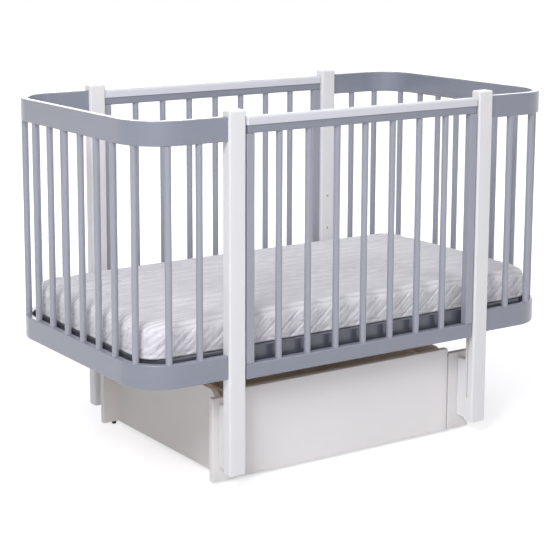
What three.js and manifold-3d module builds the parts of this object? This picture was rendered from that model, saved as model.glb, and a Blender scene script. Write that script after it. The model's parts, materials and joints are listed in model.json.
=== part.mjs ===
// A pendulum crib: a slatted cot with rounded ends that swings lengthwise over a base with a drawer.
// Millimetres, +Z up. X runs along the crib, -Y is the front with the drawer, and the floor is at Z = 0.
import * as THREE from "three";
import { RoundedBoxGeometry } from "three/addons/geometries/RoundedBoxGeometry.js";
import { mergeVertices } from "three/addons/utils/BufferGeometryUtils.js";
import Module from "manifold-3d";

const wasm = await Module();
wasm.setup();

// Whole object
const LENGTH = 1250;
const WIDTH = 700;
const LEG_LIFT = 41;

// Posts of the crib
const POST_SPACING = 750;
const POST_WIDE = 46;
const POST_DEEP = 32;
const POST_TALL = 868;
const POST_ROUND = 4;

// Curved bands round the two ends
const BAND_TALL = 57;
const BAND_THICK = 18;
const BAND_INSET = 6;
const BAND_CORNER = 110;
const BAND_EDGE = 2;
const BAND_BELOW_TOP = 14;
const BOTTOM_BAND_UP = 238;

// Round dowels of the ends and of the two long sides
const DOWEL_ROUND = 17;
const DOWEL_JOINT = 5;
const END_DOWELS = 12;
const END_PITCH = 79.5;
const SIDE_DOWELS = 7;
const SIDE_PITCH = 84;

// Long sides
const SIDE_THICK = 20;
const SIDE_INSET = 3;
const FRONT_SIDE_GAP = 3.5;
const STILE_WIDE = 22;
const RAIL_BELOW_BAND = 7;
const BOTTOM_RAIL_TALL = 37;
const TOP_RAIL_TALL = 37;
const RAIL_ROUND = 3;

// Teething covers on the top rails
const COVER_BELOW_TOP = 16.5;
const COVER_WALL = 2.5;
const COVER_TALL = 20;
const COVER_ROUND = 5;

// Latches and guides of the front side
const GROOVE_WIDE = 5;
const GROOVE_DEEP = 7;
const FRONT_DROP = 170;
const GROOVE_SPARE = 10;
const GUIDE_REACH = 7.5;
const GUIDE_ROUND = 4;
const GUIDE_BELOW_COVER = 8;
const LATCH_LONG = 44;
const LATCH_TALL = 10;
const LATCH_DEEP = 4;
const LATCH_TRAVEL = 8;
const LATCH_IN_RAIL = 14;
const THUMB_LONG = 10;
const THUMB_STANDS = 5;

// Bed base and its bolts
const BED_OVER_BAND = 3;
const BED_TALL = 59;
const BED_END_GAP = 12;
const BED_CHAMFER = 60;
const BED_WALL = 18;
const LATHS = 13;
const LATH_WIDE = 68;
const LATH_THICK = 12;
const BOLT_ROUND = 6;
const BOLT_HEAD = 13;
const BOLT_HEAD_TALL = 4;
const BOLT_IN_POST = 18;
const BOLT_IN_BED = 36;
const BOLT_RISES = [0, 131, 225];

// Mattress
const MATTRESS_END_GAP = 9;
const MATTRESS_SIDE_GAP = 11;
const MATTRESS_EDGE_TALL = 69;
const MATTRESS_TUCK_BELOW = 7;
const MATTRESS_TUCK_ABOVE = 11;
const MATTRESS_CROWN = 12;
const MATTRESS_CORNER = 55;
const CHANNELS = 15;
const CHANNEL_DEEP = 2.5;

// Pendulum links and their pins
const LINK_INSET = 3;
const LINK_WIDE = 26;
const LINK_TALL = 157;
const LINK_SPACE = 38;
const LINK_UP = 4;
const LINK_PLAY = 1;
const LINK_ROUND = 2;
const UPPER_PIVOT_UP = 144;
const LOWER_PIVOT_UP = 20;
const PIN_ROUND = 8;
const PIN_HEAD = 14;
const PIN_HEAD_TALL = 4;
const PIN_IN_LINK = 30;
const PIN_IN_POST = 17;

// Base cabinet
const BOARD_THICK = 17;
const BOARD_WIDE = 70;
const BOARD_OUTSET = 3;
const BOARD_TALL = 208;
const BOARD_ROUND = 2;
const PANEL_THICK = 16;
const PANEL_IN_BOARD = 45;
const PANEL_TALL = 206;
const NOTCH_DEEP = 44;
const NOTCH_TALL = 76;
const NOTCH_OUTER_ROUND = 25;
const NOTCH_INNER_ROUND = 15;
const FOOT_ROUND = 13;
const FOOT_TALL = 8;
const BACK_FOOT_X = 366;
const FRONT_FOOT_BACK = 38;
const BUMPER_ROUND = 5;
const BUMPER_UP = 210;
const BUMPER_BACK = 4.5;

// Drawer
const DRAWER_GAP = 4;
const DRAWER_FRONT_UP = 9;
const DRAWER_FRONT_TALL = 221;
const DRAWER_BOX_INSET = 11;
const DRAWER_WALL = 12;
const DRAWER_BOTTOM = 6;
const DRAWER_BOX_UP = 20;
const DRAWER_BOX_TOP = 198;
const DRAWER_BACK_SPACE = 17;
const RUNNER_UP = 49;
const RUNNER_TALL = 42;
const RUNNER_LIP = 6;
const RUNNER_BAR = 10;
const RUNNER_GAP = 2;
const RUNNER_PLAY = 1.5;
const RUNNER_BACK = 8;
const RUNNER_SHORT = 52;

// Running clearance round turned pieces
const PLAY = 0.3;

// Roundness of curved faces and of rounded edges
const ROUND_STEPS = 16;
const CORNER_STEPS = 11;
const FINE_EDGE = 2;
const PLAIN_EDGE = 1;

// Places worked out from the sizes above
const POST_X = POST_SPACING / 2;
const POST_Y = WIDTH / 2 - POST_DEEP / 2;
const POST_INNER_X = POST_X - POST_WIDE / 2;
const POST_OUTER_X = POST_X + POST_WIDE / 2;
const POST_INNER_Y = WIDTH / 2 - POST_DEEP;
const TOP_BAND_UP = POST_TALL - BAND_BELOW_TOP - BAND_TALL;
const BOTTOM_RAIL_UP = BOTTOM_BAND_UP - RAIL_BELOW_BAND;
const TOP_RAIL_UP = POST_TALL - COVER_BELOW_TOP - COVER_WALL - TOP_RAIL_TALL;
const LATCH_UP = BOTTOM_RAIL_UP + LATCH_IN_RAIL;
const GROOVE_FROM = LATCH_UP - FRONT_DROP - GROOVE_SPARE;
const GROOVE_TO = TOP_RAIL_UP + COVER_TALL + GROOVE_SPARE;
const INSIDE_LONG = LENGTH - 2 * BAND_THICK;
const BED_UP = BOTTOM_BAND_UP + BED_OVER_BAND;
const BED_LONG = INSIDE_LONG - 2 * BED_END_GAP;
const LATH_STEP = (BED_LONG - 2 * BED_WALL) / LATHS;
const BOLT_LEVELS = BOLT_RISES.map((rise) => BED_UP + BOLT_IN_BED + rise);
const MATTRESS_LONG = INSIDE_LONG - 2 * MATTRESS_END_GAP;
const MATTRESS_WIDE = 2 * (POST_INNER_Y - MATTRESS_SIDE_GAP);
const BAND_OUTER_Y = WIDTH / 2 - BAND_INSET;
const SIDE_Y = WIDTH / 2 - SIDE_INSET - SIDE_THICK / 2;
const SIDE_BACK_Y = SIDE_Y - SIDE_THICK / 2;
const LINK_X = POST_X - LINK_INSET;
const BOARD_FACE_Y = POST_INNER_Y - LINK_SPACE;
const BOARD_BACK_Y = BOARD_FACE_Y - BOARD_THICK;
const BOARD_OUTER = POST_OUTER_X + BOARD_OUTSET;
const BOARD_INNER_X = BOARD_OUTER - BOARD_WIDE;
const PANEL_OUTER = BOARD_OUTER - PANEL_IN_BOARD;
const PANEL_INNER_X = PANEL_OUTER - PANEL_THICK;
const DRAWER_X = BOARD_INNER_X - DRAWER_GAP;
const DRAWER_BOX_X = DRAWER_X - DRAWER_BOX_INSET;
const RUNNER_ROOM = RUNNER_TALL - 2 * RUNNER_LIP;
const BED_TOP = BED_UP + BED_TALL;
const BASE_BACK_Y = BOARD_BACK_Y - PANEL_THICK;
const RUNNER_LONG = BASE_BACK_Y + BOARD_BACK_Y - RUNNER_BACK - RUNNER_SHORT;

const materials = {
  grey_paint: finish(0x8f96a3, 0.42, 0),
  white_paint: finish(0xf1f1f0, 0.4, 0),
  white_board: finish(0xe9e8e6, 0.5, 0),
  clear_cover: finish(0xd9dce0, 0.25, 0),
  quilted_fabric: finish(0xf2f2f1, 0.9, 0),
  steel: finish(0xb5b7ba, 0.35, 1),
  black_rubber: finish(0x141414, 0.8, 0),
};

function finish(color, roughness, metalness) {
  return new THREE.MeshStandardMaterial({ color, roughness, metalness });
}

// A geometry as a solid that can be joined and cut.
function solid(geometry) {
  const plain = new THREE.BufferGeometry();
  const flat = geometry.index ? geometry.toNonIndexed() : geometry;
  plain.setAttribute("position", flat.getAttribute("position"));
  const merged = mergeVertices(plain, 1e-4);
  return new wasm.Manifold(
    new wasm.Mesh({
      numProp: 3,
      vertProperties: merged.attributes.position.array,
      triVerts: new Uint32Array(merged.index.array),
    }),
  );
}

// The geometry of a solid.
function surface(made) {
  const mesh = made.getMesh();
  const geometry = new THREE.BufferGeometry();
  geometry.setAttribute("position", new THREE.BufferAttribute(Float32Array.from(mesh.vertProperties), 3));
  geometry.setIndex(new THREE.BufferAttribute(Uint32Array.from(mesh.triVerts), 1));
  geometry.computeVertexNormals();
  return geometry;
}

function join(first, ...others) {
  return surface(others.reduce((made, other) => made.add(solid(other)), solid(first)));
}

function cut(first, ...others) {
  return surface(others.reduce((made, other) => made.subtract(solid(other)), solid(first)));
}

function common(first, second) {
  return surface(solid(first).intersect(solid(second)));
}

// A box between two corners.
function box([x0, y0, z0], [x1, y1, z1]) {
  const made = new THREE.BoxGeometry(x1 - x0, y1 - y0, z1 - z0);
  return made.translate((x0 + x1) / 2, (y0 + y1) / 2, (z0 + z1) / 2);
}

// A box between two corners with all its edges rounded.
function softBox([x0, y0, z0], [x1, y1, z1], round, steps = PLAIN_EDGE) {
  const made = new RoundedBoxGeometry(x1 - x0, y1 - y0, z1 - z0, steps, round);
  return made.translate((x0 + x1) / 2, (y0 + y1) / 2, (z0 + z1) / 2);
}

// A round bar between two points that differ along one axis.
function bar(from, to, diameter) {
  const start = new THREE.Vector3(...from);
  const end = new THREE.Vector3(...to);
  const made = new THREE.CylinderGeometry(diameter / 2, diameter / 2, start.distanceTo(end), ROUND_STEPS);
  if (from[2] !== to[2]) made.rotateX(Math.PI / 2);
  if (from[0] !== to[0]) made.rotateZ(Math.PI / 2);
  const middle = start.add(end).multiplyScalar(0.5);
  return made.translate(middle.x, middle.y, middle.z);
}

const crib = new THREE.Group();
crib.name = "crib";
crib.position.z = LEG_LIFT;

const base = new THREE.Group();
base.name = "base";

function add(group, name, geometry, material) {
  const mesh = new THREE.Mesh(geometry, material);
  mesh.name = name;
  group.add(mesh);
}

// The four corners: left or right, front or back.
const corners = [
  { name: "front_left", x: -1, y: -1 },
  { name: "front_right", x: 1, y: -1 },
  { name: "back_left", x: -1, y: 1 },
  { name: "back_right", x: 1, y: 1 },
];

// A post, with blind holes for the bed bolts and the lower pin in its inner face.
function post(corner) {
  const body = softBox(
    [corner.x * POST_X - POST_WIDE / 2, corner.y * POST_Y - POST_DEEP / 2, 0],
    [corner.x * POST_X + POST_WIDE / 2, corner.y * POST_Y + POST_DEEP / 2, POST_TALL],
    POST_ROUND,
    FINE_EDGE,
  );
  const holes = BOLT_LEVELS.map((up) => postHole(corner, POST_X, up, BOLT_ROUND, BOLT_IN_POST));
  holes.push(postHole(corner, LINK_X, LOWER_PIVOT_UP, PIN_ROUND, PIN_IN_POST));
  if (corner.y < 0) holes.push(guideGroove(corner));
  return cut(body, ...holes);
}

function postHole(corner, x, up, diameter, deep) {
  return bar(
    [corner.x * x, corner.y * (POST_INNER_Y - 1), up],
    [corner.x * x, corner.y * (POST_INNER_Y + deep), up],
    diameter + 2 * PLAY,
  );
}

// The groove in a front post that the front side's guides run in.
function guideGroove(corner) {
  const start = corner.x * (POST_INNER_X - 1);
  const end = corner.x * (POST_INNER_X + GROOVE_DEEP);
  const back = -(SIDE_BACK_Y - PLAY);
  return box(
    [Math.min(start, end), back - GROOVE_WIDE, GROOVE_FROM],
    [Math.max(start, end), back, GROOVE_TO],
  );
}

// The outline of a U seen from above: open at the posts, round at the corners.
function bandOutline(startX) {
  const outerX = LENGTH / 2;
  const innerX = outerX - BAND_THICK;
  const outerY = BAND_OUTER_Y;
  const innerY = outerY - BAND_THICK;
  const arcX = outerX - BAND_CORNER;
  const arcY = outerY - BAND_CORNER;
  const innerCorner = BAND_CORNER - BAND_THICK;
  const outline = new THREE.Shape();
  outline.moveTo(startX, -outerY);
  outline.lineTo(arcX, -outerY);
  outline.absarc(arcX, -arcY, BAND_CORNER, -Math.PI / 2, 0, false);
  outline.lineTo(outerX, arcY);
  outline.absarc(arcX, arcY, BAND_CORNER, 0, Math.PI / 2, false);
  outline.lineTo(startX, outerY);
  outline.lineTo(startX, innerY);
  outline.lineTo(arcX, innerY);
  outline.absarc(arcX, arcY, innerCorner, Math.PI / 2, 0, true);
  outline.lineTo(innerX, -arcY);
  outline.absarc(arcX, -arcY, innerCorner, 0, -Math.PI / 2, true);
  outline.lineTo(startX, -innerY);
  return outline;
}

// A band of bent wood for the right end, cut off square against the two posts.
function band(up) {
  const startX = POST_OUTER_X - 4 * BAND_EDGE;
  const bent = new THREE.ExtrudeGeometry(bandOutline(startX), {
    depth: BAND_TALL - 2 * BAND_EDGE,
    bevelEnabled: true,
    bevelThickness: BAND_EDGE,
    bevelSize: BAND_EDGE,
    bevelOffset: -BAND_EDGE,
    bevelSegments: 2,
    curveSegments: CORNER_STEPS,
  });
  bent.translate(0, 0, up + BAND_EDGE);
  const inside = box([startX - 1, -WIDTH / 2, up - 1], [POST_OUTER_X, WIDTH / 2, up + BAND_TALL + 1]);
  return cut(bent, inside);
}

// The place on the band's middle line at a distance from the middle of the end.
function onBand(distance) {
  const arcX = LENGTH / 2 - BAND_CORNER;
  const arcY = BAND_OUTER_Y - BAND_CORNER;
  const round = BAND_CORNER - BAND_THICK / 2;
  const quarter = (round * Math.PI) / 2;
  const side = Math.sign(distance);
  const far = Math.abs(distance);
  if (far <= arcY) return [arcX + round, side * far];
  if (far <= arcY + quarter) {
    const angle = (far - arcY) / round;
    return [arcX + round * Math.cos(angle), side * (arcY + round * Math.sin(angle))];
  }
  return [arcX - (far - arcY - quarter), side * (arcY + round)];
}

// The bottom band of the right end with its dowels standing in it.
function endComb() {
  const dowels = Array.from({ length: END_DOWELS }, (_, i) => {
    const [x, y] = onBand((i - (END_DOWELS - 1) / 2) * END_PITCH);
    return bar([x, y, BOTTOM_BAND_UP + BAND_TALL - DOWEL_JOINT], [x, y, TOP_BAND_UP], DOWEL_ROUND);
  });
  return join(band(BOTTOM_BAND_UP), ...dowels);
}

function addEnds() {
  for (const [end, turn] of [["right", 0], ["left", Math.PI]]) {
    add(crib, "top_band_" + end, band(TOP_BAND_UP).rotateZ(turn), materials.grey_paint);
    add(crib, "end_slats_" + end, endComb().rotateZ(turn), materials.grey_paint);
  }
}

// The bottom rail of a long side with its dowels; its middle plane is Y = 0.
function sideComb(halfLong) {
  const top = BOTTOM_RAIL_UP + BOTTOM_RAIL_TALL;
  const rail = softBox(
    [-halfLong, -SIDE_THICK / 2, BOTTOM_RAIL_UP],
    [halfLong, SIDE_THICK / 2, top],
    RAIL_ROUND,
    FINE_EDGE,
  );
  const dowels = Array.from({ length: SIDE_DOWELS }, (_, i) => {
    const x = (i - (SIDE_DOWELS - 1) / 2) * SIDE_PITCH;
    return bar([x, 0, top - DOWEL_JOINT], [x, 0, TOP_RAIL_UP], DOWEL_ROUND);
  });
  return join(rail, ...dowels);
}

// The upright that closes one end of a long side.
function stile(halfLong, side) {
  const outer = side * halfLong;
  const inner = side * (halfLong - STILE_WIDE);
  return box(
    [Math.min(outer, inner), -SIDE_THICK / 2, BOTTOM_RAIL_UP + BOTTOM_RAIL_TALL],
    [Math.max(outer, inner), SIDE_THICK / 2, TOP_RAIL_UP],
  );
}

function topRail(halfLong) {
  const end = halfLong - COVER_WALL;
  return softBox(
    [-end, -SIDE_THICK / 2, TOP_RAIL_UP],
    [end, SIDE_THICK / 2, TOP_RAIL_UP + TOP_RAIL_TALL],
    RAIL_ROUND,
  );
}

// The cap of soft plastic over the top of a top rail, open underneath.
function cover(halfLong) {
  const railTop = TOP_RAIL_UP + TOP_RAIL_TALL;
  const top = railTop + COVER_WALL;
  const low = top - COVER_TALL;
  const out = SIDE_THICK / 2 + COVER_WALL;
  const cap = softBox([-halfLong, -out, low - 2 * COVER_ROUND], [halfLong, out, top], COVER_ROUND, FINE_EDGE);
  const below = box([-halfLong - 1, -out - 1, low - 3 * COVER_ROUND], [halfLong + 1, out + 1, low]);
  const end = halfLong - COVER_WALL;
  const room = box([-end, -SIDE_THICK / 2, low - 1], [end, SIDE_THICK / 2, railTop]);
  return cut(cap, below, room);
}

// The slot in the back of the front side's bottom rail that a latch slides in.
function latchSlot(halfLong, side) {
  const inner = side * (halfLong - LATCH_LONG - LATCH_TRAVEL);
  const outer = side * (halfLong + 1);
  return box(
    [Math.min(inner, outer), SIDE_THICK / 2 - LATCH_DEEP - PLAY, LATCH_UP],
    [Math.max(inner, outer), SIDE_THICK / 2 + 1, LATCH_UP + LATCH_TALL + PLAY],
  );
}

// A sliding latch with a thumb piece; its tip runs in the groove of the post.
function latch(halfLong, side) {
  const inner = side * (halfLong - LATCH_LONG);
  const outer = side * (halfLong + GUIDE_REACH);
  const thumb = side * (halfLong - LATCH_LONG + THUMB_LONG);
  const slide = box(
    [Math.min(inner, outer), SIDE_THICK / 2 - LATCH_DEEP, LATCH_UP],
    [Math.max(inner, outer), SIDE_THICK / 2, LATCH_UP + LATCH_TALL],
  );
  const piece = box(
    [Math.min(inner, thumb), SIDE_THICK / 2 - 1, LATCH_UP],
    [Math.max(inner, thumb), SIDE_THICK / 2 + THUMB_STANDS, LATCH_UP + LATCH_TALL],
  );
  return join(slide, piece);
}

// The studs that guide the top of the front side in the posts' grooves.
function guideStud(halfLong, side) {
  const up = TOP_RAIL_UP + TOP_RAIL_TALL + COVER_WALL - COVER_TALL - GUIDE_BELOW_COVER;
  const y = SIDE_THICK / 2 - GUIDE_ROUND / 2;
  const start = [side * (halfLong - 3 * COVER_WALL), y, up];
  return bar(start, [side * (halfLong + GUIDE_REACH), y, up], GUIDE_ROUND);
}

function addLongSides() {
  for (const [name, y] of [["front", -SIDE_Y], ["back", SIDE_Y]]) {
    const moves = name === "front";
    const halfLong = POST_INNER_X - (moves ? FRONT_SIDE_GAP : 0);
    let comb = sideComb(halfLong);
    let rail = topRail(halfLong);
    if (moves) {
      comb = cut(comb, latchSlot(halfLong, -1), latchSlot(halfLong, 1));
      rail = join(rail, guideStud(halfLong, -1), guideStud(halfLong, 1));
      for (const [side, sign] of [["left", -1], ["right", 1]]) {
        add(crib, "latch_" + side, latch(halfLong, sign).translate(0, y, 0), materials.steel);
      }
    }
    add(crib, name + "_slats", comb.translate(0, y, 0), materials.grey_paint);
    add(crib, name + "_top_rail", rail.translate(0, y, 0), materials.grey_paint);
    add(crib, name + "_rail_cover", cover(halfLong).translate(0, y, 0), materials.clear_cover);
    add(crib, name + "_stile_left", stile(halfLong, -1).translate(0, y, 0), materials.grey_paint);
    add(crib, name + "_stile_right", stile(halfLong, 1).translate(0, y, 0), materials.grey_paint);
  }
}

// A rectangle with its four corners cut off.
function cutCornered(halfX, halfY, chamfer) {
  return [
    new THREE.Vector2(-halfX + chamfer, -halfY),
    new THREE.Vector2(halfX - chamfer, -halfY),
    new THREE.Vector2(halfX, -halfY + chamfer),
    new THREE.Vector2(halfX, halfY - chamfer),
    new THREE.Vector2(halfX - chamfer, halfY),
    new THREE.Vector2(-halfX + chamfer, halfY),
    new THREE.Vector2(-halfX, halfY - chamfer),
    new THREE.Vector2(-halfX, -halfY + chamfer),
  ];
}

// The bed base: a frame with its laths let in flush with the top.
function bedBase() {
  const halfX = BED_LONG / 2;
  const halfY = POST_INNER_Y;
  const whole = new THREE.Shape(cutCornered(halfX, halfY, BED_CHAMFER));
  const ring = whole.clone();
  const innerChamfer = BED_CHAMFER - BED_WALL * (2 - Math.SQRT2);
  ring.holes.push(new THREE.Path(cutCornered(halfX - BED_WALL, halfY - BED_WALL, innerChamfer)));
  const frame = upright(ring, BED_UP, BED_TALL);
  const block = upright(whole, BED_TOP - LATH_THICK, LATH_THICK);
  const laths = Array.from({ length: LATHS }, (_, i) => {
    const x = (i - (LATHS - 1) / 2) * LATH_STEP;
    const lath = box(
      [x - LATH_WIDE / 2, -halfY + BED_WALL / 2, BED_TOP - LATH_THICK],
      [x + LATH_WIDE / 2, halfY - BED_WALL / 2, BED_TOP],
    );
    return common(lath, block);
  });
  const holes = corners.map((corner) =>
    bar(
      [corner.x * POST_X, corner.y * (halfY - BED_WALL - 1), BOLT_LEVELS[0]],
      [corner.x * POST_X, corner.y * (halfY + 1), BOLT_LEVELS[0]],
      BOLT_ROUND + 2 * PLAY,
    ),
  );
  return cut(join(frame, ...laths), ...holes);
}

// A flat outline given height.
function upright(outline, up, tall) {
  return new THREE.ExtrudeGeometry(outline, { depth: tall, bevelEnabled: false }).translate(0, 0, up);
}

// A bolt that holds the bed base to a post, with its head inside the frame.
function bedBolt(corner) {
  const face = POST_INNER_Y - BED_WALL;
  const x = corner.x * POST_X;
  const up = BOLT_LEVELS[0];
  const head = bar([x, corner.y * (face - BOLT_HEAD_TALL), up], [x, corner.y * face, up], BOLT_HEAD);
  const tip = corner.y * (POST_INNER_Y + BOLT_IN_POST);
  const shank = bar([x, corner.y * (face - 1), up], [x, tip, up], BOLT_ROUND);
  return join(head, shank);
}

// Even steps from -half to half, with close steps round the corner at both ends.
function mattressLines(half, steps) {
  const bend = [0, 0.08, 0.3, 0.6].map((share) => half - share * MATTRESS_CORNER);
  const flat = half - MATTRESS_CORNER;
  const middle = Array.from({ length: steps + 1 }, (_, i) => -flat + (2 * flat * i) / steps);
  return [...bend.map((v) => -v), ...middle, ...bend.reverse()];
}

// A point of a plain rectangle moved so that the rectangle's corners become round.
function roundedPlan(x, y, halfX, halfY) {
  const reach = Math.max(Math.abs(x) / halfX, Math.abs(y) / halfY);
  if (reach === 0) return [x, y];
  const edgeX = Math.abs(x) / reach - (halfX - MATTRESS_CORNER);
  const edgeY = Math.abs(y) / reach - (halfY - MATTRESS_CORNER);
  if (edgeX <= 0 || edgeY <= 0) return [x, y];
  const pull = MATTRESS_CORNER / Math.hypot(edgeX, edgeY);
  const outX = halfX - MATTRESS_CORNER + edgeX * pull;
  const outY = halfY - MATTRESS_CORNER + edgeY * pull;
  return [Math.sign(x) * outX * reach, Math.sign(y) * outY * reach];
}

// The mattress: crowned, with drawn-in sides and channels sewn along its top.
function mattress() {
  const halfX = MATTRESS_LONG / 2;
  const halfY = MATTRESS_WIDE / 2;
  const xs = mattressLines(halfX, 4);
  const ys = mattressLines(halfY, 2 * CHANNELS - 4);
  const tiers = [
    { up: 0, inset: MATTRESS_TUCK_BELOW },
    { up: 7, inset: 1 },
    { up: 0.42 * MATTRESS_EDGE_TALL, inset: 0 },
    { up: 0.8 * MATTRESS_EDGE_TALL, inset: 2 },
    { up: MATTRESS_EDGE_TALL, inset: MATTRESS_TUCK_ABOVE },
  ];
  const made = new THREE.BoxGeometry(2, 2, 2, xs.length - 1, ys.length - 1, tiers.length - 1);
  const place = made.getAttribute("position");
  for (let i = 0; i < place.count; i++) {
    const x = xs[Math.round(((place.getX(i) + 1) / 2) * (xs.length - 1))];
    const row = Math.round(((place.getY(i) + 1) / 2) * (ys.length - 1));
    const tier = tiers[Math.round(((place.getZ(i) + 1) / 2) * (tiers.length - 1))];
    const [planX, planY] = roundedPlan(x, ys[row], halfX, halfY);
    const share = Math.max(Math.abs(x) / halfX, Math.abs(ys[row]) / halfY);
    const crown = tier === tiers.at(-1) ? MATTRESS_CROWN * (1 - share ** 4) : 0;
    const sewn = crown > 0 && row % 2 === 1 ? CHANNEL_DEEP * (1 - share ** 8) : 0;
    const pulled = 1 - (tier.inset * share) / Math.hypot(planX, planY || 1);
    place.setXYZ(i, planX * pulled, planY * pulled, BED_TOP + tier.up + crown - sewn);
  }
  return surface(solid(made));
}

// A link of the pendulum: a block that hangs on the base and carries the crib.
function link(corner) {
  const near = BOARD_FACE_Y + LINK_PLAY;
  const far = POST_INNER_Y - LINK_PLAY;
  const low = LEG_LIFT + LINK_UP;
  const block = softBox(
    [corner.x * LINK_X - LINK_WIDE / 2, Math.min(corner.y * near, corner.y * far), low],
    [corner.x * LINK_X + LINK_WIDE / 2, Math.max(corner.y * near, corner.y * far), low + LINK_TALL],
    LINK_ROUND,
  );
  const bores = [UPPER_PIVOT_UP, LOWER_PIVOT_UP].map((up) =>
    bar(
      [corner.x * LINK_X, corner.y * (near - 1), LEG_LIFT + up],
      [corner.x * LINK_X, corner.y * (far + 1), LEG_LIFT + up],
      PIN_ROUND + 2 * PLAY,
    ),
  );
  return cut(block, ...bores);
}

// The pin in a corner board that a link hangs on, with its head behind the board.
function upperPin(corner) {
  const x = corner.x * LINK_X;
  const up = LEG_LIFT + UPPER_PIVOT_UP;
  const head = bar(
    [x, corner.y * (BOARD_BACK_Y - PIN_HEAD_TALL), up],
    [x, corner.y * BOARD_BACK_Y, up],
    PIN_HEAD,
  );
  const tip = corner.y * (BOARD_FACE_Y + LINK_PLAY + PIN_IN_LINK);
  const shank = bar([x, corner.y * (BOARD_BACK_Y - 1), up], [x, tip, up], PIN_ROUND);
  return join(head, shank);
}

// The pin in a post that rests in the lower end of a link.
function lowerPin(corner) {
  const x = corner.x * LINK_X;
  const inner = corner.y * (POST_INNER_Y - LINK_PLAY - PIN_IN_LINK);
  const outer = corner.y * (POST_INNER_Y + PIN_IN_POST);
  return bar([x, inner, LOWER_PIVOT_UP], [x, outer, LOWER_PIVOT_UP], PIN_ROUND);
}

// An upright board at a corner of the base, bored for the link's upper pin.
function cornerBoard(corner) {
  const inner = corner.x * BOARD_INNER_X;
  const outer = corner.x * BOARD_OUTER;
  const front = corner.y * BOARD_FACE_Y;
  const back = corner.y * BOARD_BACK_Y;
  const board = softBox(
    [Math.min(inner, outer), Math.min(front, back), FOOT_TALL],
    [Math.max(inner, outer), Math.max(front, back), FOOT_TALL + BOARD_TALL],
    BOARD_ROUND,
  );
  const bore = bar(
    [corner.x * LINK_X, corner.y * (BOARD_BACK_Y - 1), LEG_LIFT + UPPER_PIVOT_UP],
    [corner.x * LINK_X, corner.y * (BOARD_FACE_Y + 1), LEG_LIFT + UPPER_PIVOT_UP],
    PIN_ROUND + 2 * PLAY,
  );
  return cut(board, bore);
}

// A side panel of the base, with a rounded notch at both upper corners.
function sidePanel(side) {
  const inRound = NOTCH_INNER_ROUND;
  const outRound = NOTCH_OUTER_ROUND;
  const half = BOARD_BACK_Y;
  const low = FOOT_TALL;
  const top = FOOT_TALL + PANEL_TALL;
  const step = top - NOTCH_TALL;
  const neck = half - NOTCH_DEEP;
  const outline = new THREE.Shape();
  outline.moveTo(-half, low);
  outline.lineTo(half, low);
  outline.lineTo(half, step);
  outline.lineTo(neck + inRound, step);
  outline.absarc(neck + inRound, step + inRound, inRound, -Math.PI / 2, -Math.PI, true);
  outline.lineTo(neck, top - outRound);
  outline.absarc(neck - outRound, top - outRound, outRound, 0, Math.PI / 2, false);
  outline.lineTo(-neck + outRound, top);
  outline.absarc(-neck + outRound, top - outRound, outRound, Math.PI / 2, Math.PI, false);
  outline.lineTo(-neck, step + inRound);
  outline.absarc(-neck - inRound, step + inRound, inRound, 0, -Math.PI / 2, true);
  outline.lineTo(-half, step);
  const panel = new THREE.ExtrudeGeometry(outline, {
    depth: PANEL_THICK,
    bevelEnabled: false,
    curveSegments: CORNER_STEPS,
  });
  // The outline's two directions become Y and Z, and its thickness becomes X.
  panel.rotateX(Math.PI / 2);
  panel.rotateZ(Math.PI / 2);
  return panel.translate(side > 0 ? PANEL_INNER_X : -PANEL_OUTER, 0, 0);
}

function backPanel() {
  return box([-PANEL_INNER_X, BASE_BACK_Y, FOOT_TALL], [PANEL_INNER_X, BOARD_BACK_Y, FOOT_TALL + PANEL_TALL]);
}

// A rubber foot, turned, with a rounded underside: under a back board, or under a side panel's front end.
function foot(corner) {
  const half = FOOT_ROUND / 2;
  const profile = [
    new THREE.Vector2(0, 0),
    new THREE.Vector2(0.55 * half, 0),
    new THREE.Vector2(0.85 * half, 0.12 * FOOT_TALL),
    new THREE.Vector2(half, 0.45 * FOOT_TALL),
    new THREE.Vector2(half, FOOT_TALL),
    new THREE.Vector2(0, FOOT_TALL),
  ];
  const turned = new THREE.LatheGeometry(profile, ROUND_STEPS).rotateX(Math.PI / 2);
  if (corner.y > 0) return turned.translate(corner.x * BACK_FOOT_X, (BOARD_FACE_Y + BOARD_BACK_Y) / 2, 0);
  const panelMiddle = (PANEL_OUTER + PANEL_INNER_X) / 2;
  return turned.translate(corner.x * panelMiddle, FRONT_FOOT_BACK - BOARD_BACK_Y, 0);
}

// A small rubber bumper between the drawer front and a corner board.
function bumper(side) {
  const y = -(BOARD_FACE_Y - BUMPER_BACK);
  return bar([side * (DRAWER_X + 0.5), y, BUMPER_UP], [side * BOARD_INNER_X, y, BUMPER_UP], BUMPER_ROUND);
}

// A grooved rail for the drawer, fixed inside a side panel.
function runnerRail(side) {
  const mouth = DRAWER_BOX_X + RUNNER_GAP;
  const floor = DRAWER_BOX_X + RUNNER_BAR + RUNNER_GAP;
  const start = -(BOARD_BACK_Y - RUNNER_BACK);
  const whole = sideBox(side, mouth, PANEL_INNER_X, start, RUNNER_UP, RUNNER_TALL);
  const groove = sideBox(side, mouth - 1, floor, start - 1, RUNNER_UP + RUNNER_LIP, RUNNER_ROOM, 2);
  return cut(whole, groove);
}

// The bar on the drawer's side that runs in the groove.
function runnerBar(side) {
  const start = -(BOARD_BACK_Y - RUNNER_BACK);
  const up = RUNNER_UP + RUNNER_LIP + RUNNER_PLAY;
  return sideBox(side, DRAWER_BOX_X, DRAWER_BOX_X + RUNNER_BAR, start, up, RUNNER_ROOM - 2 * RUNNER_PLAY);
}

// A box on the left or right, as long as a runner and a little more.
function sideBox(side, inner, outer, start, up, tall, more = 0) {
  const x0 = Math.min(side * inner, side * outer);
  const x1 = Math.max(side * inner, side * outer);
  return box([x0, start, up], [x1, start + RUNNER_LONG + more, up + tall]);
}

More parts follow.
